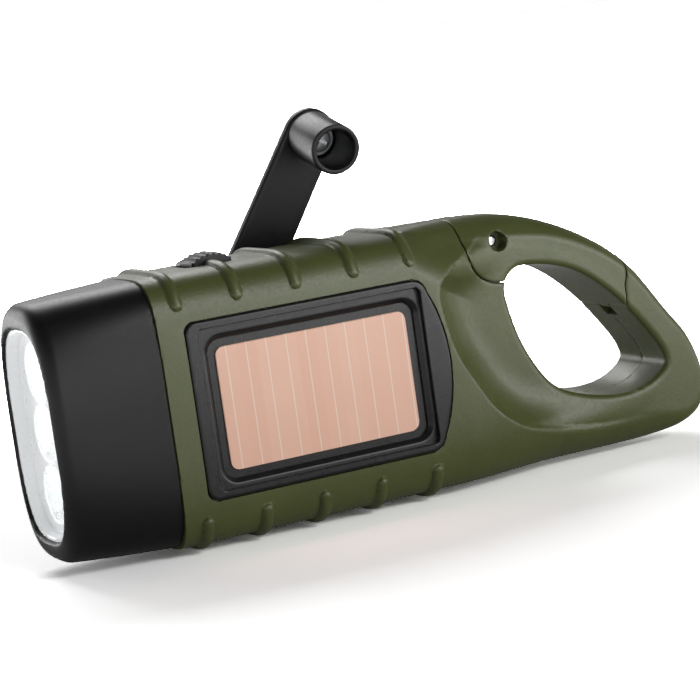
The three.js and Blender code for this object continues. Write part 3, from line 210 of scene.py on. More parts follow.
def spun(profile, sides, closed=False):
    """A profile of (radius, height) points carried once round the height axis: each point becomes
    (radius cos a, height, radius sin a)."""
    profile = np.asarray(profile, float)
    angle = np.arange(sides) * 2 * np.pi / sides
    radius, height = profile[:, :1], profile[:, 1:]
    points = np.stack([radius * np.cos(angle), height + 0 * angle, radius * np.sin(angle)], -1).reshape(-1, 3)
    rows = np.arange(len(profile) if closed else len(profile) - 1)[:, None]
    here = rows * sides + np.arange(sides)
    there = rows * sides + (np.arange(sides) + 1) % sides
    up = ((rows + 1) % len(profile) - rows) * sides
    return points, np.stack([here, here + up, there + up, there], -1).reshape(-1, 4)


def softened(corners, radius, pieces=5):
    """A closed line of straight runs whose corners are replaced by parabolas that start and end
    radius away from each corner, or 45% of the run where that is less."""
    corners = np.asarray(corners, float)
    ends = []
    for neighbour in (1, -1):
        side = np.roll(corners, neighbour, axis=0) - corners
        size = np.linalg.norm(side, axis=1, keepdims=True)
        ends.append(corners + side / size * np.minimum(radius, size * 0.45))
    t = np.linspace(0, 1, pieces)[None, :, None]
    start, end, tip = ends[0][:, None], ends[1][:, None], corners[:, None]
    return ((1 - t) ** 2 * start + 2 * t * (1 - t) * tip + t**2 * end).reshape(-1, 2)


def piece(name, surface, look, body, node, sharp=40, to_frame=None):
    """A mesh object from points in millimetres and quads, with doubled points at the poles merged. It
    takes the place of the given node and moves with a body. Edges sharper than sharp, in degrees,
    aren't shaded smooth."""
    finish, slot = look
    points, faces = surface
    if to_frame is not None:
        points = points @ np.array(to_frame.to_3x3()).T + np.array(to_frame.translation)
    mesh = bpy.data.meshes.new(name)
    mesh.vertices.add(len(points))
    mesh.vertices.foreach_set("co", ((points + ORIGIN) * METRE).astype(np.float32).ravel())
    mesh.loops.add(faces.size)
    mesh.loops.foreach_set("vertex_index", faces.astype(np.int32).ravel())
    mesh.polygons.add(len(faces))
    mesh.polygons.foreach_set("loop_start", np.arange(0, faces.size, faces.shape[1], dtype=np.int32))
    mesh.update(calc_edges=True)
    shape = bmesh.new()
    shape.from_mesh(mesh)
    bmesh.ops.remove_doubles(shape, verts=shape.verts, dist=1e-7)
    if shape.calc_volume(signed=True) < 0:
        bmesh.ops.reverse_faces(shape, faces=shape.faces)
    shape.to_mesh(mesh)
    shape.free()
    mesh.polygons.foreach_set("use_smooth", np.ones(len(mesh.polygons), bool))
    mesh.set_sharp_from_angle(angle=np.radians(sharp))
    made = bpy.data.objects.new(name, mesh)
    bpy.context.scene.collection.objects.link(made)
    mesh.materials.append(finish)
    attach(made, body)
    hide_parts(node)


def moved(x, y, z):
    """Matrix that moves by x, y and z."""
    return Matrix.Translation((x, y, z))


# Sizes of the part, in millimetres.

# Body: half depth, half height, start along x, power of its squared section, and wall.
BODY_DEPTH = 16.2
BODY_HEIGHT = 25.6
BODY_START = -4.6
SKIN_POWER = 5
WALL = 1.8
# Ribs: pitch and last place along x, rise, half width, and where and over what run their tips end.
RIB_PITCH = 12
RIB_LAST = 48
RIB_RISE = 0.88
RIB_HALF = 1.2
RIB_END = 20.6
RIB_END_RUN = 1.3
# Tail: start and length, where and how fast its depth narrows, the power that its section reaches and
# where, and how far it stays inside the solids.
TAIL_START = 66
TAIL_LENGTH = 48.2
TAPER_START = 56
TAPER_END = 108
TAPER_POWER = 1.4
TAIL_POWER = 3
TAIL_POWER_END = 78
TAIL_INSET = 0.09
# Loop: half depth, rounding of its lower edge at the body and at the tip, rounding of the opening, and
# width of the dished hollow.
LOOP_DEPTH = 9.6
LOOP_EDGE = 6.5
LOOP_EDGE_END = 2.2
HOLE_RIM = 1.2
SCOOP_WIDTH = 12
# Gate: place of the hinge, radius of the root, running gap, place and radius of the nose.
HINGE = (70.3, 20.3)
ROOT_RADIUS = 7.85
GAP = 0.35
NOSE_X = 91.2
NOSE_Z = 10
NOSE_RADIUS = 6.85
# Hinge web of the shells: half width and radius, and the radius of the slot round it in the gate.
TONGUE_HALF = 2.1
TONGUE_RADIUS = 7.5
SLOT_RADIUS = 8.2
# Gate's pin: half length and radius, its bore, and the wider recess beyond each end.
PIN_HALF = 6.6
PIN_RADIUS = 1.0
PIN_BORE = 1.15
PIN_RECESS = 1.95
# Latch: place and slope along the hook's inner wall.
LATCH_X = 97.25
LATCH_Z = 3.85
LATCH_SLOPE = np.radians(51)
# Half width of the top edge's slope where it meets the outline, at places along x, how fast it widens
# inwards, where along x it begins and the rounding of its edge.
SLOPE_PLACES = [
    [30, 31], [38, 22.5], [44, 16], [50, 11], [56, 7.9],
    [62, 6.3], [73, 6.1], [84, 7.1], [104, 8.1], [125, 8.6],
]
SLOPE_SPREAD = 0.85
SLOPE_START = 34
SLOPE_EDGE = 2.0
# Crank: place of the hub, depth of the fold pin, turn about the hub, lean of the arm; then the arm's
# length, thickness and half widths at root and tip, and the radius of the fold pin's barrel and bore.
HUB_X = 17.8
FOLD_Y = 23.7
CRANK_TURN = np.radians(29.1)
ARM_SLOPE = np.radians(12.5)
ARM_LENGTH = 53.5
ARM_THICKNESS = 2.5
ARM_ROOT = 5.9
ARM_TIP = 5.3
FOLD_BARREL = 2.58
FOLD_BORE = 1.05
# Place of each shell screw in x and z, and the depth y of its seat; radius of boss, well and bore.
SCREWS = [(4.5, 19.2, 9.05), (4.5, -19.2, 9.05), (50, 19.2, 9.05), (50, -19.2, 9.05), (88, -20.3, 6.55)]
BOSS_RADIUS = 2.8
WELL_RADIUS = 2.45
SCREW_BORE = 1.2
# Shells: half gap and edge of their seam, how much less deep their room is, its shift in depth and its
# end along x, and the spans along x and z and the half depth of its stub.
SEAM_GAP = 0.01
SEAM_EDGE = 0.12
ROOM_INSET = 2.3
ROOM_SHIFT = 0.5
ROOM_END = 47.3
STUB_X = (21.5, 56.3)
STUB_Z = (-17.4, 15.6)
STUB_HALF = 7.7
# Stowed crank: the channel's depth, half width and span, and the radius and depth of the knob's pocket.
CHANNEL_DEPTH = 1.6
CHANNEL_HALF = 6.6
CHANNEL_SPAN = (9, 73.1)
POCKET_RADIUS = 5.85
POCKET_DEPTH = 16.8
# Panel frame: left end along x, half height, middle height, and the depths y of its face and seat.
PANEL_LEFT = 0.5
PANEL_HALF = 16.65
PANEL_Z = 0.15
PANEL_FACE = -16.48
PANEL_SEAT = -14.9
# Head and lamp: front of the head, middle height and pitch of the lenses, where along x the tray's
# floor and the diodes' board are, and the power and half sizes of the lamp's window and tray.
HEAD_FRONT = -26.27
LAMP_Z = -0.3
LAMP_PITCH = 11.5
TRAY_FLOOR = -23.2
BOARD_FRONT = -12.2
LAMP_POWER = 3.2
WINDOW_HALF = (12.46, 19.96)
TRAY_HALF = (12.34, 19.84)

# Outlines of the tail, of the loop's opening and of the hollow's rim, as shares of the tail's length and
# of the body's half height.
TAIL_SHARES = [
    [0, 1], [0.193, 0.965], [0.407, 0.828], [0.614, 0.594], [0.73, 0.387], [0.863, 0.023], [0.944, -0.195],
    [0.985, -0.391], [1, -0.566], [0.988, -0.723], [0.944, -0.844], [0.861, -0.934], [0.726, -0.988],
    [0.539, -1],
]
HOLE_SHARES = [
    [0.1, 0.457], [0.149, 0.559], [0.259, 0.561], [0.423, 0.465], [0.573, 0.254], [0.701, -0.02],
    [0.801, -0.309], [0.807, -0.414], [0.726, -0.527], [0.589, -0.574], [0.394, -0.508], [0.268, -0.395],
    [0.176, -0.152], [0.114, 0.164],
]
RIM_SHARES = [
    [0.052, 0.945], [-0.068, 0.777], [-0.197, 0.68], [-0.259, 0.582], [-0.272, 0.488], [-0.259, 0.273],
    [-0.226, 0.031], [-0.168, -0.18], [-0.083, -0.43], [0.041, -0.613], [0.189, -0.695], [0.361, -0.758],
    [0.519, -0.785], [0.668, -0.777], [0.83, -0.754], [1.08, -0.703],
]


def on_tail(shares):
    """Shares of the tail's length and of the body's half height, in millimetres."""
    return np.asarray(shares, float) * [TAIL_LENGTH, BODY_HEIGHT] + [TAIL_START, 0]


tail_line = smooth_line(on_tail(TAIL_SHARES))
tail_map = outline_map(np.concatenate([[[50, BODY_HEIGHT - 0.1]], tail_line, [[50, -BODY_HEIGHT + 0.1]]]))
hole_distance = outline_map(smooth_line(on_tail(HOLE_SHARES), closed=True))
rim_line = smooth_line(on_tail(RIM_SHARES))
rim_distance = outline_map(np.concatenate([rim_line, [[130, -18], [130, 45], [70, 45]]]))
tail_end = tail_line[:, 0].argmax()
top_line = tail_line[: 1 + tail_end]
bottom_line = tail_line[tail_end:][::-1]
under_top = np.concatenate([[[20, BODY_HEIGHT]], top_line, [[top_line[-1, 0], -60], [20, -60]]])
top_distance = outline_map(under_top, margin=4)
slope_line = smooth_line(SLOPE_PLACES)


def tail_distance(x, z):
    """Distance to the tail's outline, taken in a little so that the tail stays inside the solids."""
    return tail_map(x, z) + TAIL_INSET


def skin_spans(x):
    """Half depth, power, middle and half height of the section at x. The depth narrows with a power of
    the distance along the tail, and the section grows rounder there in a straight line. Its height is
    that of the tail's outline and 0.06 mm more, so that the outline alone cuts it."""
    taper = np.clip((x - TAPER_START) / (TAPER_END - TAPER_START), 0, 1)
    depth = BODY_DEPTH - (BODY_DEPTH - LOOP_DEPTH) * taper**TAPER_POWER
    rounder = np.clip((x - TAPER_START) / (TAIL_POWER_END - TAPER_START), 0, 1)
    power = SKIN_POWER + (TAIL_POWER - SKIN_POWER) * rounder
    top = np.interp(x, top_line[:, 0], top_line[:, 1]) + 0.06
    bottom = np.interp(x, bottom_line[:, 0], bottom_line[:, 1]) - 0.06
    top = np.where(x < TAIL_START, BODY_HEIGHT, top)
    bottom = np.where(x < bottom_line[0, 0], -BODY_HEIGHT, bottom)
    return depth, power, (top + bottom) / 2, (top - bottom) / 2


def top_slope(x, z):
    """Half width of the sloped upper edge: it starts narrow at the outline and widens inwards, and its
    start follows a smooth line along x."""
    return np.interp(x, slope_line[:, 0], slope_line[:, 1]) - SLOPE_SPREAD * top_distance(x, z)


def slope_distance(x, y, z):
    """Distance to the two planes of the sloped upper edge."""
    return (np.abs(y) - top_slope(x, z)) / np.hypot(1, SLOPE_SPREAD)


def skin(x, y, z):
    """Body with its ribs: a squared oval whose depth narrows and whose height follows the outline
    along the tail. Each rib is a round bead that goes over the narrow faces: its lift is that of a
    circle's edge across the rib, and it falls to nothing as a circle's edge at its two ends."""
    depth, power, middle, high = skin_spans(x)
    across = oval(y, z - middle, depth, high, power)
    from_rib = (x - RIB_PITCH * np.clip(np.round(x / RIB_PITCH), 0, RIB_LAST / RIB_PITCH)) / RIB_HALF
    from_end = np.clip((RIB_END - np.abs(z)) / RIB_END_RUN, 0, 1)
    lift = RIB_RISE * np.sqrt(np.maximum(1 - from_rib**2 - from_end**2, 0))
    made = np.maximum(np.maximum(across - lift, x - TAPER_END), BODY_START - x)
    return np.where(x > SLOPE_START, round_max(made, slope_distance(x, y, z), SLOPE_EDGE), made)


def scoop_wall(x, y, z):
    """Dished hollow round the loop: from its rim the face falls from the body's own to 0.1 mm under the
    loop's, over SCOOP_WIDTH, as (1 - t)^3, so it is steepest at the rim and runs out flat. Outside the
    rim, and 0.4 mm inside it, the wall stands off by 1.2 mm a millimetre, so that it cuts nothing there."""
    depth, power, middle, high = skin_spans(x)
    up = np.clip(np.abs(z - middle) / high, 0, 0.995)
    face = np.minimum(depth * (1 - up**power) ** (1 / power), top_slope(x, z))
    rise = np.maximum(face - LOOP_DEPTH, 0)
    inside = -rim_distance(x, z)
    left = 1 - np.clip(inside / SCOOP_WIDTH, 0, 1)
    wall = (np.abs(y) - LOOP_DEPTH + 0.1 - rise * left**3) / np.hypot(1, 3 * rise * left**2 / SCOOP_WIDTH)
    return wall - 1.2 * np.maximum(0.4 - inside, 0)


def loop_plate(x, y, z):
    """Flat tail: the outline swept through its depth, with its lower edge rounded and its upper edge
    sloped, the slope meeting the flat face in a crisp line. The rounding grows down the lower edge and
    shrinks again towards the tip. The two forms blend along a line that leans with x."""
    edge = LOOP_EDGE_END + (LOOP_EDGE - LOOP_EDGE_END) * ease(-z, 4, 18) * (1 - ease(x, 98, 112))
    lower = round_max(tail_distance(x, z), np.abs(y) - LOOP_DEPTH, edge)
    upper = round_max(tail_distance(x, z), slope_distance(x, y, z), SLOPE_EDGE)
    upper = round_max(upper, np.abs(y) - LOOP_DEPTH, 0.5)
    share = ease(z + 0.35 * x, 14, 38)
    return lower * (1 - share) + upper * share


def outer_form(x, y, z):
    """Body and tail together, with the loop's opening and its soft rim. The hollow's rim grows softer
    towards the tail."""
    rim_edge = 0.7 + 1.5 * ease(x, 64, 80)
    body = round_max(skin(x, y, z), scoop_wall(x, y, z), rim_edge)
    return round_max(round_min(body, loop_plate(x, y, z), 0.4), -hole_distance(x, z), HOLE_RIM)


# The gate's outline: up past the skin, round the root, across the loop's opening and round the nose.
root_side = HINGE[0] - ROOT_RADIUS * 1.01
gate_distance = outline_map(np.concatenate([
    [[NOSE_X, 40], [root_side, 40], [root_side, HINGE[1] + ROOT_RADIUS * 0.2]],
    arc(*HINGE, ROOT_RADIUS, 180, 284.4),
    [[NOSE_X - NOSE_RADIUS * 0.3, NOSE_Z - NOSE_RADIUS]],
    [[NOSE_X + NOSE_RADIUS * 0.89, NOSE_Z - NOSE_RADIUS * 1.17]],
    arc(NOSE_X, NOSE_Z, NOSE_RADIUS, -25.7, 45),
    [[NOSE_X + NOSE_RADIUS * 0.4, 40]],
]))


def hinge_web(x, y, z, half, radius):
    """Middle web of the hinge: a disc with a block running on into the body."""
    run = np.maximum(x - HINGE[0], HINGE[1] - ROOT_RADIUS * 0.5 - z)
    return np.maximum(np.minimum(rod(x, z, radius, HINGE), run), np.abs(y) - half)


def latch(x, y, z, half, low, high, side, slide=0.0):
    """A small box turned to lie along the hook's inner wall."""
    along = (x - LATCH_X) * np.cos(LATCH_SLOPE) - (z - LATCH_Z) * np.sin(LATCH_SLOPE)
    up = (x - LATCH_X) * np.sin(LATCH_SLOPE) + (z - LATCH_Z) * np.cos(LATCH_SLOPE)
    return np.maximum(np.maximum(np.abs(along - slide) - half, slab(up, low, high)), np.abs(y) - side)


def gate(x, y, z):
    """Part of the form inside the gate's outline, with the slot for the tongue, the pin's bore and
    its wider recesses, and the latch lip."""
    made = round_max(outer_form(x, y, z), gate_distance(x, z) - 0.12, 0.3)
    made = np.minimum(made, latch(x, y, z, 2.1, -0.55, 0.55, 1.8))
    made = np.maximum(made, -hinge_web(x, y, z, TONGUE_HALF + GAP, SLOT_RADIUS))
    recess = np.maximum(rod(x, z, PIN_RECESS, HINGE), PIN_HALF - np.abs(y))
    made = round_max(made, -recess, 0.3)
    return np.maximum(made, -rod(x, z, PIN_BORE, HINGE))


def room(x, y, z):
    """Space inside the two shells: the body's own section made smaller, and a lower stub that runs on
    towards the tail."""
    across = oval(y - ROOM_SHIFT, z, BODY_DEPTH - ROOM_INSET, BODY_HEIGHT - WALL, SKIN_POWER)
    stub = np.maximum(np.maximum(slab(x, *STUB_X), np.abs(y) - STUB_HALF), slab(z, *STUB_Z))
    return np.minimum(np.maximum(across, x - ROOM_END), stub)


def stowed_crank(x, y, z):
    """Channel for the folded arm and round pocket for the knob, in the back of the body. They lean as
    the arm does."""
    along = (x - HUB_X) * np.cos(ARM_SLOPE) - (y - FOLD_Y) * np.sin(ARM_SLOPE)
    up = (x - HUB_X) * np.sin(ARM_SLOPE) + (y - FOLD_Y) * np.cos(ARM_SLOPE)
    across = round_max(-CHANNEL_DEPTH - up, np.abs(z) - CHANNEL_HALF, 1.0)
    pocket = np.maximum(rod(along, z, POCKET_RADIUS, (ARM_LENGTH, 0)), -POCKET_DEPTH - up)
    return np.minimum(round_max(across, slab(along, *CHANNEL_SPAN), 1.0), pocket)


def shells(x, y, z):
    """Both shells in one: the form without the gate, hollow inside, with the hinge's tongue, four screw
    bosses that stay under the skin, the latch slot, the crank's channel and the button's opening."""
    form = outer_form(x, y, z)
    made = round_max(form, GAP - gate_distance(x, z), 0.35)
    made = np.minimum(made, np.maximum(form, hinge_web(x, y, z, TONGUE_HALF, TONGUE_RADIUS)))
    made = np.maximum(made, -room(x, y, z))
    bosses = np.min([rod(x, z, BOSS_RADIUS, centre) for centre in SCREWS[:4]], axis=0)
    made = np.minimum(made, np.maximum(np.maximum(bosses, np.abs(y) - 14), form + 0.5))
    made = np.maximum(made, -latch(x, y, z, 3.2, -WALL, 0.9, 2.15, 1.1))
    made = round_max(made, -stowed_crank(x, y, z), 0.6)
    opening = round_max(slab(x, 7.5, 17.1), np.abs(y) - 4.0, 0.8)
    return round_max(made, -np.maximum(opening, 22 - z), 0.3)


def panel_line():
    """Outline of the panel frame: straight on the left, top and bottom, bowed on the right. The bow is
    an arc through its two ends, 13.8 mm above and below, and a parabola leads into each end."""
    side_end, bow_start, bow_end, half = 46.5, 50.2, 53.25, 13.8
    bow = bow_end - bow_start
    radius = (half**2 + bow**2) / (2 * bow)
    sweep = np.degrees(np.arcsin(half / radius))
    t = np.linspace(0, 1, 12)[1:-1, None]
    corner = np.array([bow_start - bow * 0.2, PANEL_HALF])
    upper = (1 - t) ** 2 * [side_end, PANEL_HALF] + 2 * t * (1 - t) * corner + t**2 * [bow_start, half]
    line = np.concatenate([
        [[side_end, -PANEL_HALF]],
        upper * [1, -1],
        arc(bow_end - radius, 0, radius, -sweep, sweep, 40),
        upper[::-1],
        [[side_end, PANEL_HALF]],
        arc(PANEL_LEFT + 2, PANEL_HALF - 2, 2, 90, 180, 8),
        arc(PANEL_LEFT + 2, 2 - PANEL_HALF, 2, 180, 270, 8),
    ])
    return line + [0, PANEL_Z]


panel_distance = outline_map(panel_line(), pitch=0.2, margin=4)


def front_shell(x, y, z):
    """Front half of the shells, with the seat and the window of the solar panel."""
    made = round_max(shells(x, y, z), y + SEAM_GAP, SEAM_EDGE)
    made = np.maximum(made, -np.maximum(panel_distance(x, z) - 0.2, y - PANEL_SEAT))
    return np.maximum(made, -np.maximum(panel_distance(x, z) + 1.45, y + 11.45))


def rear_shell(x, y, z):
    """Rear half of the shells, with the screw wells and the hole for the crank's bush."""
    made = round_max(shells(x, y, z), SEAM_GAP - y, SEAM_EDGE)
    wells = [np.maximum(rod(x, z, WELL_RADIUS, place), place[2] - 0.05 - y) for place in SCREWS]
    made = round_max(made, -np.min(wells, axis=0), 0.35)
    bores = np.min([rod(x, z, SCREW_BORE, centre) for centre in SCREWS], axis=0)
    return np.maximum(made, -np.minimum(bores, rod(x, z, 3.55, (HUB_X, 0))))


def head_shell(x, y, z):
    """Head: a squared oval that grows and squares up towards the body, with a soft front edge, the
    lamp window and a neck that slides into the body."""
    share = np.clip((x - HEAD_FRONT) / (BODY_START - HEAD_FRONT), 0, 1)
    across = oval(y, z, 14.6 + 1.2 * share**0.7, 24 + 1.3 * share**0.6, 2.9 + 1.6 * share)
    made = np.maximum(round_max(across, HEAD_FRONT - x, 2.6), x - BODY_START + 0.12)
    neck = oval(y - ROOM_SHIFT, z, BODY_DEPTH - WALL - 0.65, BODY_HEIGHT - WALL - 0.15, SKIN_POWER)
    made = np.minimum(made, np.maximum(neck, slab(x, BODY_START - WALL, BODY_START + 5)))
    hollow = np.where(x < BODY_START - WALL, across, neck) + WALL
    made = np.maximum(made, -np.maximum(hollow, HEAD_FRONT + 1.6 - x))
    window = oval(y, z - LAMP_Z, *WINDOW_HALF, LAMP_POWER)
    return round_max(made, -np.maximum(window, x - HEAD_FRONT - 3.4), 0.6)


def lamp_tray(x, y, z):
    """Bright tray: a thin wall round a floor, with a bowl behind each lens. A bowl is a cone whose
    radius falls from 5.3 mm by 2.5 mm over its depth, with a 0.7 mm wall."""
    across = oval(y, z - LAMP_Z, *TRAY_HALF, LAMP_POWER)
    walls = round_max(np.maximum(across, -(across + 0.7)), slab(x, HEAD_FRONT + 0.7, TRAY_FLOOR + 0.1), 0.2)
    floor = np.maximum(across - 0.35, slab(x, TRAY_FLOOR, TRAY_FLOOR + 1.6))
    made = round_min(walls, np.maximum(floor, np.where(x < HEAD_FRONT + 1.6, across, -1)), 0.5)
    slope = 2.5 / (BOARD_FRONT - TRAY_FLOOR)
    for step in (-1, 0, 1):
        out = np.hypot(y, z - LAMP_Z - step * LAMP_PITCH)
        cone = out - (5.3 - slope * (x - TRAY_FLOOR))
        made = np.minimum(made, np.maximum(cone - 0.7, slab(x, TRAY_FLOOR + 0.1, BOARD_FRONT)))
        made = np.maximum(made, -np.maximum(cone, x - BOARD_FRONT - 1))
    return made


def panel_frame(x, y, z):
    """Panel frame: a rim, a step down, a sloped inner bezel round the cell and a skirt behind."""
    outline = panel_distance(x, z)
    made = round_max(outline, PANEL_FACE - y, 0.5)
    made = np.maximum(made, y - PANEL_SEAT)
    made = np.minimum(made, np.maximum(outline + 1.6, slab(y, PANEL_SEAT - 0.5, -11.6)))
    rim = round_max(slab(x, 2.8, 48.7), np.abs(z - PANEL_Z) - 15.1, 1.2)
    made = round_max(made, -np.maximum(rim, y - PANEL_FACE - 1.2), 0.2)
    inner = round_max(slab(x, 4.8, 47.5), slab(z, -13.4, 12.8), 2.6)
    slope = inner - np.clip(PANEL_FACE + 2.0 - y, 0, 1) * 1.1
    made = round_max(made, -np.maximum(slope, y + 14.0), 0.15)
    return np.maximum(made, -np.maximum(inner - 1.2, -14.0 - y))


def cell_plate(x, y, z):
    """Solar cell: a thin plate with round corners and a soft edge."""
    face = round_max(slab(x, 6.35, 45.72), slab(z, -11.95, 11.25), 1.7)
    return round_max(face, slab(y, -14.4, -14.0), 0.12)


def button(x, y, z):
    """Push button: an arch along x with ridges across its top, soft edges, and a flange inside the
    body. The arch is a parabola; a cosine takes the ridges down from it."""
    left, length, ridges, depth = 8.7, 8.1, 7, 0.18
    side = round_max(slab(x, left, left + length), np.abs(y) - 3.6, 0.7)
    share = (x - left) / length
    wave = depth * (1 - np.cos(share * ridges * 2 * np.pi))
    top = round_max(side, slab(z, 22.7, 26.4 + 5.6 * share * (1 - share) - wave - 0.012 * y**2), 0.25)
    flange = np.maximum(round_max(slab(x, 6.9, 17.7), np.abs(y) - 4.6, 1), slab(z, 22.7, 23.7))
    stem = np.maximum(np.hypot(x - 12.3, y) - 1.8, slab(z, 21, 23))
    return np.minimum(np.minimum(top, flange), stem)


# Crank, in its own frames.

def turned(angle, axis, place):
    """Matrix that turns by an angle in radians about an axis and then moves to a place."""
    return moved(*place) @ Matrix.Rotation(angle, 4, axis)


to_hub = turned(CRANK_TURN, "Y", (HUB_X, 0, 0))
to_arm = to_hub @ turned(ARM_SLOPE, "X", (0, FOLD_Y, 0))
to_tip = to_arm @ moved(0, 0, ARM_LENGTH)


def arm(x, y, z):
    """Crank arm: a flat taper between a wide root and a round tip, with soft edges, a barrel round the
    fold pin and a bore for the knob's screw."""
    lean = np.arcsin((ARM_ROOT - ARM_TIP) / ARM_LENGTH)
    side = np.abs(x) * np.cos(lean) + z * np.sin(lean) - ARM_ROOT * np.cos(lean)
    tip = np.hypot(x, z - ARM_LENGTH) - ARM_TIP
    flat = np.where(z * np.cos(lean) - np.abs(x) * np.sin(lean) < ARM_LENGTH * np.cos(lean), side, tip)
    made = round_max(np.maximum(flat, -z), np.abs(y) - ARM_THICKNESS / 2, 0.7)
    barrel = round_max(np.hypot(y, z) - FOLD_BARREL, np.abs(x) - 6, 0.4)
    made = round_min(made, barrel, 0.5)
    made = np.maximum(made, -np.maximum(np.hypot(x, z - ARM_LENGTH) - 1.25, y - 0.45))
    return np.maximum(made, FOLD_BORE - np.hypot(y, z))


def hub(x, y, z):
    """Crank hub: a round disc with two ears for the fold pin, and the shaft with its square end."""
    out = np.hypot(x, z)
    from_pin = np.hypot(y - FOLD_Y, z)
    made = round_max(out - 9, slab(y, 16.7, 19.7), 0.8)
    profile = np.minimum(from_pin - FOLD_BARREL, np.maximum(np.abs(z) - FOLD_BARREL, y - FOLD_Y))
    ear = round_max(profile, slab(np.abs(x), 6.2, 8.4), 0.3)
    made = round_min(made, np.maximum(ear, 17.5 - y), 0.5)
    made = np.minimum(made, np.maximum(out - 2.4, slab(y, 13.05, 17)))
    made = np.minimum(made, np.maximum(np.maximum(np.abs(x), np.abs(z)) - 1.3, slab(y, 10.6, 14)))
    made = np.maximum(made, FOLD_BORE - from_pin)
    return np.maximum(made, -np.maximum(out - 0.85, y - 14.4))


def screw(x, y, z, seat, end, radius, head, height):
    """Screw along y: a domed head beyond the seat with a cross recess, and a plain shank."""
    out = np.hypot(x, z)
    sign = np.sign(seat - end)
    up = (y - seat) * sign
    dome = round_max(out - head, slab(up, 0, height - 0.05 * out**2), 0.35)
    made = np.minimum(dome, np.maximum(out - radius, slab(up, -abs(seat - end), 0.1)))
    arms = np.minimum(np.maximum(np.abs(x) - head * 0.15, np.abs(z) - head * 0.62),
                      np.maximum(np.abs(z) - head * 0.15, np.abs(x) - head * 0.62))
    return np.maximum(made, -np.maximum(arms, height * 0.4 - up))


# Finishes.

def linear(hex_colour, alpha=1.0):
    """An sRGB hex colour in linear light: s/12.92 below 0.04045, otherwise ((s + 0.055)/1.055)^2.4."""
    parts = np.array([int(hex_colour[i:i + 2], 16) for i in (1, 3, 5)]) / 255
    return (*np.where(parts <= 0.04045, parts / 12.92, ((parts + 0.055) / 1.055) ** 2.4).tolist(), alpha)


def add(tree, kind, inputs=None, **settings):
    """A node of a kind, with its settings, and its inputs set or linked."""
    made = tree.nodes.new(kind)
    for name, value in settings.items():
        setattr(made, name, value)
    for name, value in (inputs or {}).items():
        if isinstance(value, bpy.types.NodeSocket):
            tree.links.new(value, made.inputs[name])
        else:
            made.inputs[name].default_value = value
    return made


def mixed(tree, share, *colours):
    """Two colours mixed by a share. Each is a hex colour or another node's output."""
    first, second = (linear(item) if isinstance(item, str) else item for item in colours)
    return add(tree, "ShaderNodeMix", {"Factor": share, 6: first, 7: second}, data_type="RGBA").outputs[2]


def noise(tree, place, size_mm, detail, roughness=0.5):
    """Noise whose grains are size_mm apart: its scale is 1/size per mm, so 1000/size per metre."""
    inputs = {"Vector": place, "Scale": 1000 / size_mm, "Detail": detail, "Roughness": roughness}
    return add(tree, "ShaderNodeTexNoise", inputs).outputs["Fac"]


def ranged(tree, value, start, end, low=0.0, high=1.0, clamp=True):
    """A value that goes from start to end while the given one goes from low to high."""
    inputs = {"Value": value, "From Min": low, "From Max": high, "To Min": start, "To Max": end}
    return add(tree, "ShaderNodeMapRange", inputs, clamp=clamp).outputs[0]


def calculated(tree, operation, *values):
    """Result of an operation on one or two values."""
    return add(tree, "ShaderNodeMath", dict(enumerate(values)), operation=operation).outputs[0]


def start_finish(name):
    """An empty material: its node tree and the part's own coordinates, which are in metres."""
    made = bpy.data.materials.new(name)
    made.use_nodes = True
    made.node_tree.nodes.clear()
    return made, made.node_tree, add(made.node_tree, "ShaderNodeTexCoord").outputs["Object"]


def end_finish(tree, kind, inputs):
    """Shader of a kind, led to the material's output."""
    shader = add(tree, kind, inputs)
    add(tree, "ShaderNodeOutputMaterial", {"Surface": shader.outputs[0]})


def moulded(name, dark, light, roughness, grain_mm, grain_depth, sheen=0.5, painted_glow=0.0):
    """Moulded plastic: a mottle of two close tones, 9 mm across, and a fine eroded grain that lifts the
    surface and varies its gloss. Any emission it is given is painted light: the surface shines with its own
    tone."""
    made, tree, place = start_finish(name)
    tone = mixed(tree, noise(tree, place, 9.0, 3.0), dark, light)
    grain = noise(tree, place, grain_mm, 2.0, 0.6)
    gloss = ranged(tree, grain, roughness - 0.05, roughness + 0.06, 0.3, 0.7)
    bump = add(tree, "ShaderNodeBump", {"Height": grain, "Strength": 1.0, "Distance": grain_depth * METRE})
    # The emission set below is painted light: the surface shines with its own tone at the strength given.
    end_finish(tree, "ShaderNodeBsdfPrincipled", {
        "Base Color": tone, "Roughness": gloss, "Specular IOR Level": sheen,
        "Emission Color": tone, "Emission Strength": painted_glow, "Normal": bump.outputs[0], "IOR": 1.5})
    return made


def metal(name, dark, light, roughness, brush_mm, stretch):
    """Bare or plated metal: two close tones and a gloss that changes along fine drawn lines."""
    made, tree, place = start_finish(name)
    turn = add(tree, "ShaderNodeMapping", {"Vector": place, "Scale": stretch})
    lines = noise(tree, turn.outputs[0], brush_mm, 3.0)
    tone = mixed(tree, lines, dark, light)
    gloss = ranged(tree, lines, roughness * 0.7, roughness * 1.3)
    end_finish(tree, "ShaderNodeBsdfPrincipled", {"Base Color": tone, "Metallic": 1.0, "Roughness": gloss})
    return made


def clear_acrylic():
    """Clear acrylic of the lenses with the diodes lit: polished, with faint flow ripples of 1.5 mm, and a
    painted white light emitted by the lens itself in place of the diodes' light."""
    made, tree, place = start_finish("clear_acrylic")
    ripple = noise(tree, place, 1.5, 1.0)
    bump = add(tree, "ShaderNodeBump", {"Height": ripple, "Strength": 0.6, "Distance": 0.02 * METRE})
    end_finish(tree, "ShaderNodeBsdfPrincipled", {
        "Base Color": linear("#f7fafb"), "Roughness": 0.05, "IOR": 1.49, "Transmission Weight": 0.9,
        # Painted light: the lens emits white of its own, standing in for the lit diodes behind it.
        "Emission Color": linear("#ffffff"), "Emission Strength": 0.15, "Normal": bump.outputs[0]})
    return made


# Solar cell: place of its first line along x, and the pitch of the lines, in millimetres.
CELL_START = 8.55
CELL_PITCH = 4.07


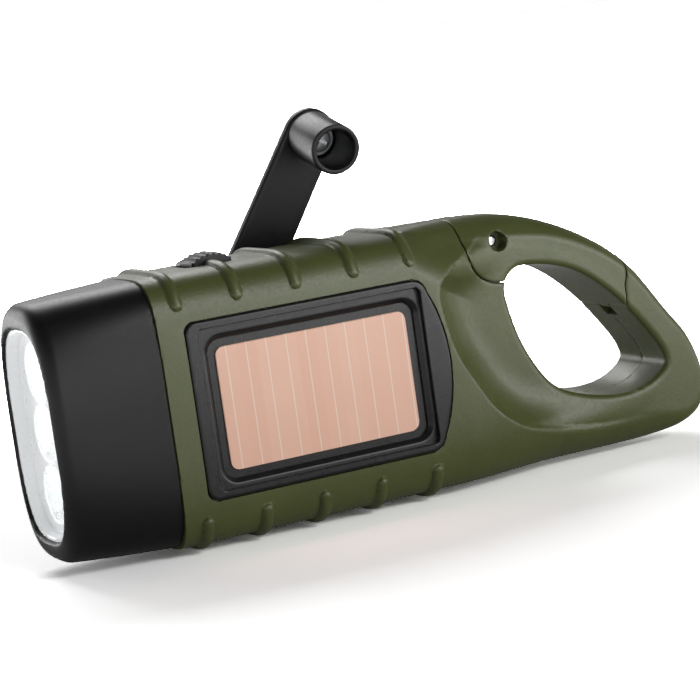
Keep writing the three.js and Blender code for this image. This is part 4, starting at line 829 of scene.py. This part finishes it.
def cell_film():
    """Solar cell under clear film: copper pink strips parted by thin pale lines. A line is drawn where
    the distance along x to the nearest line is under 0.014 of the pitch, and fades out to 0.032. Between
    two lines the tone shifts a little from strip to strip."""
    made, tree, place = start_finish("amorphous_cell_under_film")
    across = add(tree, "ShaderNodeSeparateXYZ", {"Vector": place})
    shift = calculated(tree, "SUBTRACT", across.outputs[0], (CELL_START + ORIGIN[0]) * METRE)
    count = calculated(tree, "DIVIDE", shift, CELL_PITCH * METRE)
    nearest = calculated(tree, "ROUND", count)
    apart = calculated(tree, "ABSOLUTE", calculated(tree, "SUBTRACT", count, nearest))
    line = ranged(tree, apart, 1.0, 0.0, 0.014, 0.032)
    strip = add(tree, "ShaderNodeTexWhiteNoise", {"W": nearest}, noise_dimensions="1D").outputs["Value"]
    film = mixed(tree, calculated(tree, "MULTIPLY", strip, noise(tree, place, 14, 2.0)), "#e4b49c", "#eabfa9")
    end_finish(tree, "ShaderNodeBsdfPrincipled", {
        "Base Color": mixed(tree, line, film, "#ecd6c8"), "Roughness": 0.42, "IOR": 1.5,
        "Coat Weight": 0.3, "Coat Roughness": 0.12})
    return made


# Olive ABS moulded in a spark-eroded tool: matt, with a leathery grain that breaks up the highlights.
# The real grain is about 0.25 mm; it is drawn at 0.55 mm so that it still shows.
olive_shell = moulded("olive_abs_eroded", "#434923", "#4f562c", 0.4, 0.55, 0.03, sheen=0.55)
# Black ABS from a satin tool: deep grey with one broad soft highlight.
satin_black = moulded("black_abs_satin", "#0b0b0c", "#101011", 0.4, 0.6, 0.003, sheen=0.36)
# Jet black ABS of the panel frame, a little glossier than the head.
panel_black = moulded("panel_abs_satin", "#111112", "#161617", 0.32, 0.8, 0.001, sheen=0.45)
# Glass-filled nylon of gears and bush: waxy and pale.
nylon = moulded("nylon_natural", "#d9d5c8", "#e4e1d6", 0.45, 0.8, 0.01)
# Glass-cloth board with green solder mask.
board_green = moulded("solder_mask_green", "#17492b", "#1f5a35", 0.3, 0.5, 0.01)
# Cast resin of the light-emitting diodes, yellow with phosphor.
diode_resin = moulded("phosphor_resin", "#e8d27a", "#f3e39a", 0.3, 0.4, 0.01)
# Nickel-plated steel of pins, screws and washer.
plated_steel = metal("nickel_plated_steel", "#c4c6c8", "#dcddde", 0.34, 0.3, (1.0, 1.0, 0.15))
# Sintered magnet, dull grey.
magnet_grey = metal("ferrite_grey", "#4a4c4f", "#5b5d60", 0.5, 0.5, (1.0, 1.0, 1.0))
# Enamelled copper winding.
copper_wire = metal("enamelled_copper", "#9c5a2c", "#c07a42", 0.3, 0.25, (1.0, 0.15, 1.0))
# Tray sprayed bright silver: pale and hazy, and made to shine with its own tone as painted light, standing in
# for the diodes' light falling on it.
mirror_tray = moulded("silver_sprayed_tray_painted_light", "#d3d5d6", "#dfe1e2", 0.3, 1.2, 0.003, sheen=0.8, painted_glow=0.4)

# A look is a finish and the name of a slot; the pieces use only the finish.
GREEN_SHELL = (olive_shell, "green_shell")
BLACK_PLASTIC = (satin_black, "black_plastic")
BLACK_FRAME = (panel_black, "black_plastic")
BRIGHT_TRAY = (mirror_tray, "mirror_tray")
STEEL = (plated_steel, "steel")
CLEAR_LENS = (clear_acrylic(), "clear_lens")
SOLAR_FILM = (cell_film(), "solar_film")
WHITE_NYLON = (nylon, "white_nylon")

# Pieces. One with finer edges has a finer step.

SHELL_STEP = (0.45, 0.65, 0.45)
piece("front_housing_skin", contour(front_shell, (-6, -18, -28), (120, 1, 29), SHELL_STEP),
      GREEN_SHELL, "body", "front_housing")
piece("rear_housing_skin", contour(rear_shell, (-6, -1, -28), (120, 18, 29), SHELL_STEP),
      GREEN_SHELL, "body", "rear_housing")
piece("gate_skin", contour(gate, (58, -17.5, -3), (104, 17.5, 32), 0.26),
      GREEN_SHELL, "gate", "carabiner_gate")
piece("head_skin", contour(head_shell, (-28, -18, -28), (2, 18, 28), 0.45),
      BLACK_PLASTIC, "body", "head_bezel")
piece("lamp_tray_skin", contour(lamp_tray, (-27, -14, -22), (-11, 14, 22), 0.35),
      BRIGHT_TRAY, "body", "reflector")
piece("panel_frame_skin", contour(panel_frame, (-1, -17.4, -18), (55, -10.5, 18), 0.25),
      BLACK_FRAME, "body", "panel_frame")
piece("button_skin", contour(button, (6, -6, 20), (19, 6, 29), 0.2),
      BLACK_PLASTIC, "button", "switch_button")
piece("crank_arm_skin", contour(arm, (-8, -4, -4), (8, 4, 61), 0.35),
      BLACK_PLASTIC, "arm", "crank_arm", to_frame=to_arm)
piece("crank_hub_skin", contour(hub, (-10.5, 9.6, -10.5), (10.5, 27.5, 10.5), 0.35),
      BLACK_PLASTIC, "crank", "crank_hub", to_frame=to_hub)

# Knob and washer, from the arm's face outwards along -y.
KNOB_TOP = -ARM_THICKNESS / 2 - 0.3
WASHER_TOP = KNOB_TOP - 2.25
knob_profile = softened([
    [1.45, KNOB_TOP], [4.95, KNOB_TOP], [4.95, KNOB_TOP - 14],
    [3.85, KNOB_TOP - 14], [3.85, KNOB_TOP - 2.2], [1.45, KNOB_TOP - 2.2],
], 0.45)
washer_profile = softened([
    [1.25, WASHER_TOP], [3.4, WASHER_TOP], [3.4, WASHER_TOP - 0.5], [1.25, WASHER_TOP - 0.5],
], 0.12)


def knob_screw(x, y, z):
    """The knob's screw: its head on the washer, its shank in the arm's tip."""
    return screw(x, y, z, WASHER_TOP - 0.55, 0.4, 1.2, 2.5, 1.7)


piece("crank_knob_skin", spun(knob_profile, 72, closed=True),
      BLACK_PLASTIC, "knob", "crank_knob", to_frame=to_tip)
piece("knob_washer_skin", spun(washer_profile, 56, closed=True),
      STEEL, "arm", "knob_washer", to_frame=to_tip)
piece("knob_screw_skin", contour(knob_screw, (-3, WASHER_TOP - 2.8, -3), (3, 1, 3), 0.14),
      STEEL, "arm", "knob_screw", to_frame=to_tip)

for i, place in enumerate(SCREWS):
    def shell_screw(x, y, z):
        """A shell screw: its head in the well of the rear shell."""
        return screw(x, y, z, place[2], -8, 1.1, 2.1, 1.45)

    piece(f"housing_screw_{i + 1}_skin", contour(shell_screw, (-2.6, -8.6, -2.6), (2.6, 11, 2.6), 0.2),
          STEEL, "body", f"housing_screw_{i + 1}", to_frame=moved(place[0], 0, place[1]))

# Half outline of a lens: shallow rings in front, a cone, and a hollow that takes the diode.
LENS_PROFILE = [
    [0, -24.5], [1.2, -24.46], [1.3, -24.36], [2.6, -24.3], [2.7, -24.2], [3.9, -24.1], [4.0, -24.0],
    [5.5, -23.85], [5.6, -23.75], [5.6, -23.25], [5.5, -23.2], [4.95, -23.2], [2.9, -13.85], [2.7, -13.65],
    [1.65, -13.65], [1.3, -14.4], [0.7, -15.1], [0, -15.4],
]
for i, step in enumerate((1, 0, -1)):
    piece(f"lens_{i + 1}_skin", spun(LENS_PROFILE, 48), CLEAR_LENS, "body", f"lens_{i + 1}", 25,
          turned(-np.pi / 2, "Z", (0, 0, LAMP_Z + step * LAMP_PITCH)))

bush_profile = softened([[2.5, 13.35], [3.5, 13.35], [3.5, 16.2], [6, 16.2], [6, 16.7], [2.5, 16.7]], 0.15)
piece("hub_bush_skin", spun(bush_profile, 64, closed=True), WHITE_NYLON, "body", "hub_bush",
      to_frame=moved(HUB_X, 0, 0))


def pin_profile(radius, half, edge=0.2):
    """Half outline of a straight pin with a small chamfer at each end."""
    return [
        [0, -half], [radius - edge, -half], [radius, edge - half],
        [radius, half - edge], [radius - edge, half], [0, half],
    ]


piece("gate_pin_skin", spun(pin_profile(PIN_RADIUS, PIN_HALF), 32), STEEL, "body", "gate_pin",
      to_frame=moved(HINGE[0], 0, HINGE[1]))
piece("fold_pin_skin", spun(pin_profile(1.0, 8.4), 32), STEEL, "crank", "fold_pin",
      to_frame=to_arm @ Matrix.Rotation(np.pi / 2, 4, "Z"))
piece("solar_cell_skin", contour(cell_plate, (5.8, -14.8, -12.2), (46.2, -13.6, 11.6), 0.2),
      SOLAR_FILM, "body", "solar_cell")

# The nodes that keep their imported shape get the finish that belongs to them.
for names, finish in (
    (["led_1", "led_2", "led_3"], diode_resin),
    (["led_board", "main_board"], board_green),
    (["solar_backing", "battery_holder", "switch_body"], panel_black),
    (["drive_gear", "idler_gear", "rotor", "stator_bobbin", "switch_plunger"], nylon),
    (["rotor_magnet"], magnet_grey),
    (["stator_coil"], copper_wire),
    (["gate_spring", "battery", "gear_plate", "idler_pin", "hub_screw", "board_screw_1", "board_screw_2",
      "plate_screw_1", "plate_screw_2", "plate_screw_3", "plate_screw_4"], plated_steel),
):
    for name in names:
        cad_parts[name].data.materials.clear()
        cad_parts[name].data.materials.append(finish)

# Camera, solved from the photograph's own outlines: the focal length in pixels of a picture 700 pixels
# wide, the camera's right, up and back in the part's frame, and its place in millimetres.
SENSOR = 36
FOCAL_PIXELS = 2522.9
PICTURE_WIDTH = 700
CAMERA_AXES = [
    [0.89502, -0.423658, -0.139473],
    [0.182834, 0.063264, 0.981106],
    [-0.40683, -0.90361, 0.134082],
]
CAMERA_PLACE = [-184.106, -444.244, 96.101]
camera = bpy.data.objects.new("camera", bpy.data.cameras.new("camera"))
bpy.context.scene.collection.objects.link(camera)
camera.data.sensor_width = SENSOR
camera.data.lens = SENSOR * FOCAL_PIXELS / PICTURE_WIDTH
camera.data.clip_start, camera.data.clip_end = 0.01, 20
view = Matrix(np.array(CAMERA_AXES).T.tolist()).to_4x4()
view.translation = np.array(CAMERA_PLACE) * METRE
camera.matrix_world = view
bpy.context.scene.camera = camera

# How much the floor's colour is raised near the part and far from it, for the camera and for a gloss, and
# between which distances in metres. For a gloss this is painted reflection: near the part the floor is
# dimmed, and further away it is raised above the light it gets.
CAMERA_LIFT = (2.5, 80.0, 0.12, 1.2)
PAINTED_REFLECTION_LIFT = (0.6, 4.4, 0.12, 0.27)
FLOOR_HALF = 6
FLOOR_DROP = 0.0004


def floor_finish():
    """Matt white paper. Where the camera sees it its colour is raised, more so further away, so that it meets
    the white behind it while the shadow on it stays. Where a gloss sees it its colour is painted reflection:
    dimmed near the part and raised further away, so that the part mirrors a darker floor close by and a
    brighter one beyond."""
    made, tree, place = start_finish("white_paper")
    tone = mixed(tree, noise(tree, place, 2.0, 2.0), "#f4f4f4", "#f9f9f9")
    path = add(tree, "ShaderNodeLightPath")
    away = add(tree, "ShaderNodeVectorMath", {0: place}, operation="LENGTH").outputs["Value"]
    # Painted reflection: what a gloss on the part sees of the floor is dimmed near the part and brightened
    # beyond it.
    gloss = ranged(tree, path.outputs["Is Glossy Ray"], 1.0, ranged(tree, away, *PAINTED_REFLECTION_LIFT), clamp=False)
    lift = ranged(tree, path.outputs["Is Camera Ray"], gloss, ranged(tree, away, *CAMERA_LIFT), clamp=False)
    shown = add(tree, "ShaderNodeVectorMath", {0: tone, "Scale": lift}, operation="SCALE")
    end_finish(tree, "ShaderNodeBsdfDiffuse", {"Color": shown.outputs[0]})
    return made


floor_mesh = bpy.data.meshes.new("floor")
corners = [(FLOOR_HALF * i, FLOOR_HALF * k, 0) for i, k in ((-1, -1), (1, -1), (1, 1), (-1, 1))]
floor_mesh.from_pydata(corners, [], [(0, 1, 2, 3)])
floor_mesh.materials.append(floor_finish())
floor = bpy.data.objects.new("floor", floor_mesh)
floor.location = (0, 0, -FLOOR_DROP)
bpy.context.scene.collection.objects.link(floor)

# The camera sees a white room of strength 1. What lights the part is pale round the horizon and dimmer
# overhead.
world = bpy.data.worlds.new("studio")
bpy.context.scene.world = world
world.use_nodes = True
room_tree = world.node_tree
room_tree.nodes.clear()
path = add(room_tree, "ShaderNodeLightPath")
seen = calculated(room_tree, "MAXIMUM", path.outputs["Is Camera Ray"], path.outputs["Is Transmission Ray"])
towards = add(room_tree, "ShaderNodeTexCoord").outputs["Generated"]
up = add(room_tree, "ShaderNodeSeparateXYZ", {"Vector": towards}).outputs[2]
room_light = ranged(room_tree, up, 0.8, 0.06, high=0.45)
strength = ranged(room_tree, seen, room_light, 1.0)
back = add(room_tree, "ShaderNodeBackground", {"Color": (1, 1, 1, 1), "Strength": strength})
add(room_tree, "ShaderNodeOutputWorld", {"Surface": back.outputs[0]})


def soft_light(name, place, aim, size, watts):
    """A square panel of light at place, in metres, turned so that it faces aim."""
    lamp = bpy.data.lights.new(name, "AREA")
    lamp.shape = "SQUARE"
    lamp.size = size
    lamp.energy = watts
    made = bpy.data.objects.new(name, lamp)
    bpy.context.scene.collection.objects.link(made)
    towards = (moved(*aim).translation - moved(*place).translation).normalized()
    made.matrix_world = moved(*place) @ towards.to_track_quat("-Z", "Y").to_matrix().to_4x4()


soft_light("right_panel", (0.66, -0.8, 0.24), (0.03, 0, 0.02), 0.5, 3.8)
soft_light("high_panel", (0.3, -0.85, 0.5), (-0.02, 0, 0.03), 0.24, 2.1)
soft_light("front_panel", (-0.08, -1.0, 0.14), (0.02, 0, 0.04), 0.24, 0.5)
soft_light("rim_panel", (-0.42, 0.85, 0.14), (-0.03, 0, 0.03), 0.5, 2.5)
soft_light("back_panel", (0.1, 0.8, 0.7), (0.02, 0, 0.03), 0.6, 5.0)

bpy.context.scene.view_settings.view_transform = "Standard"
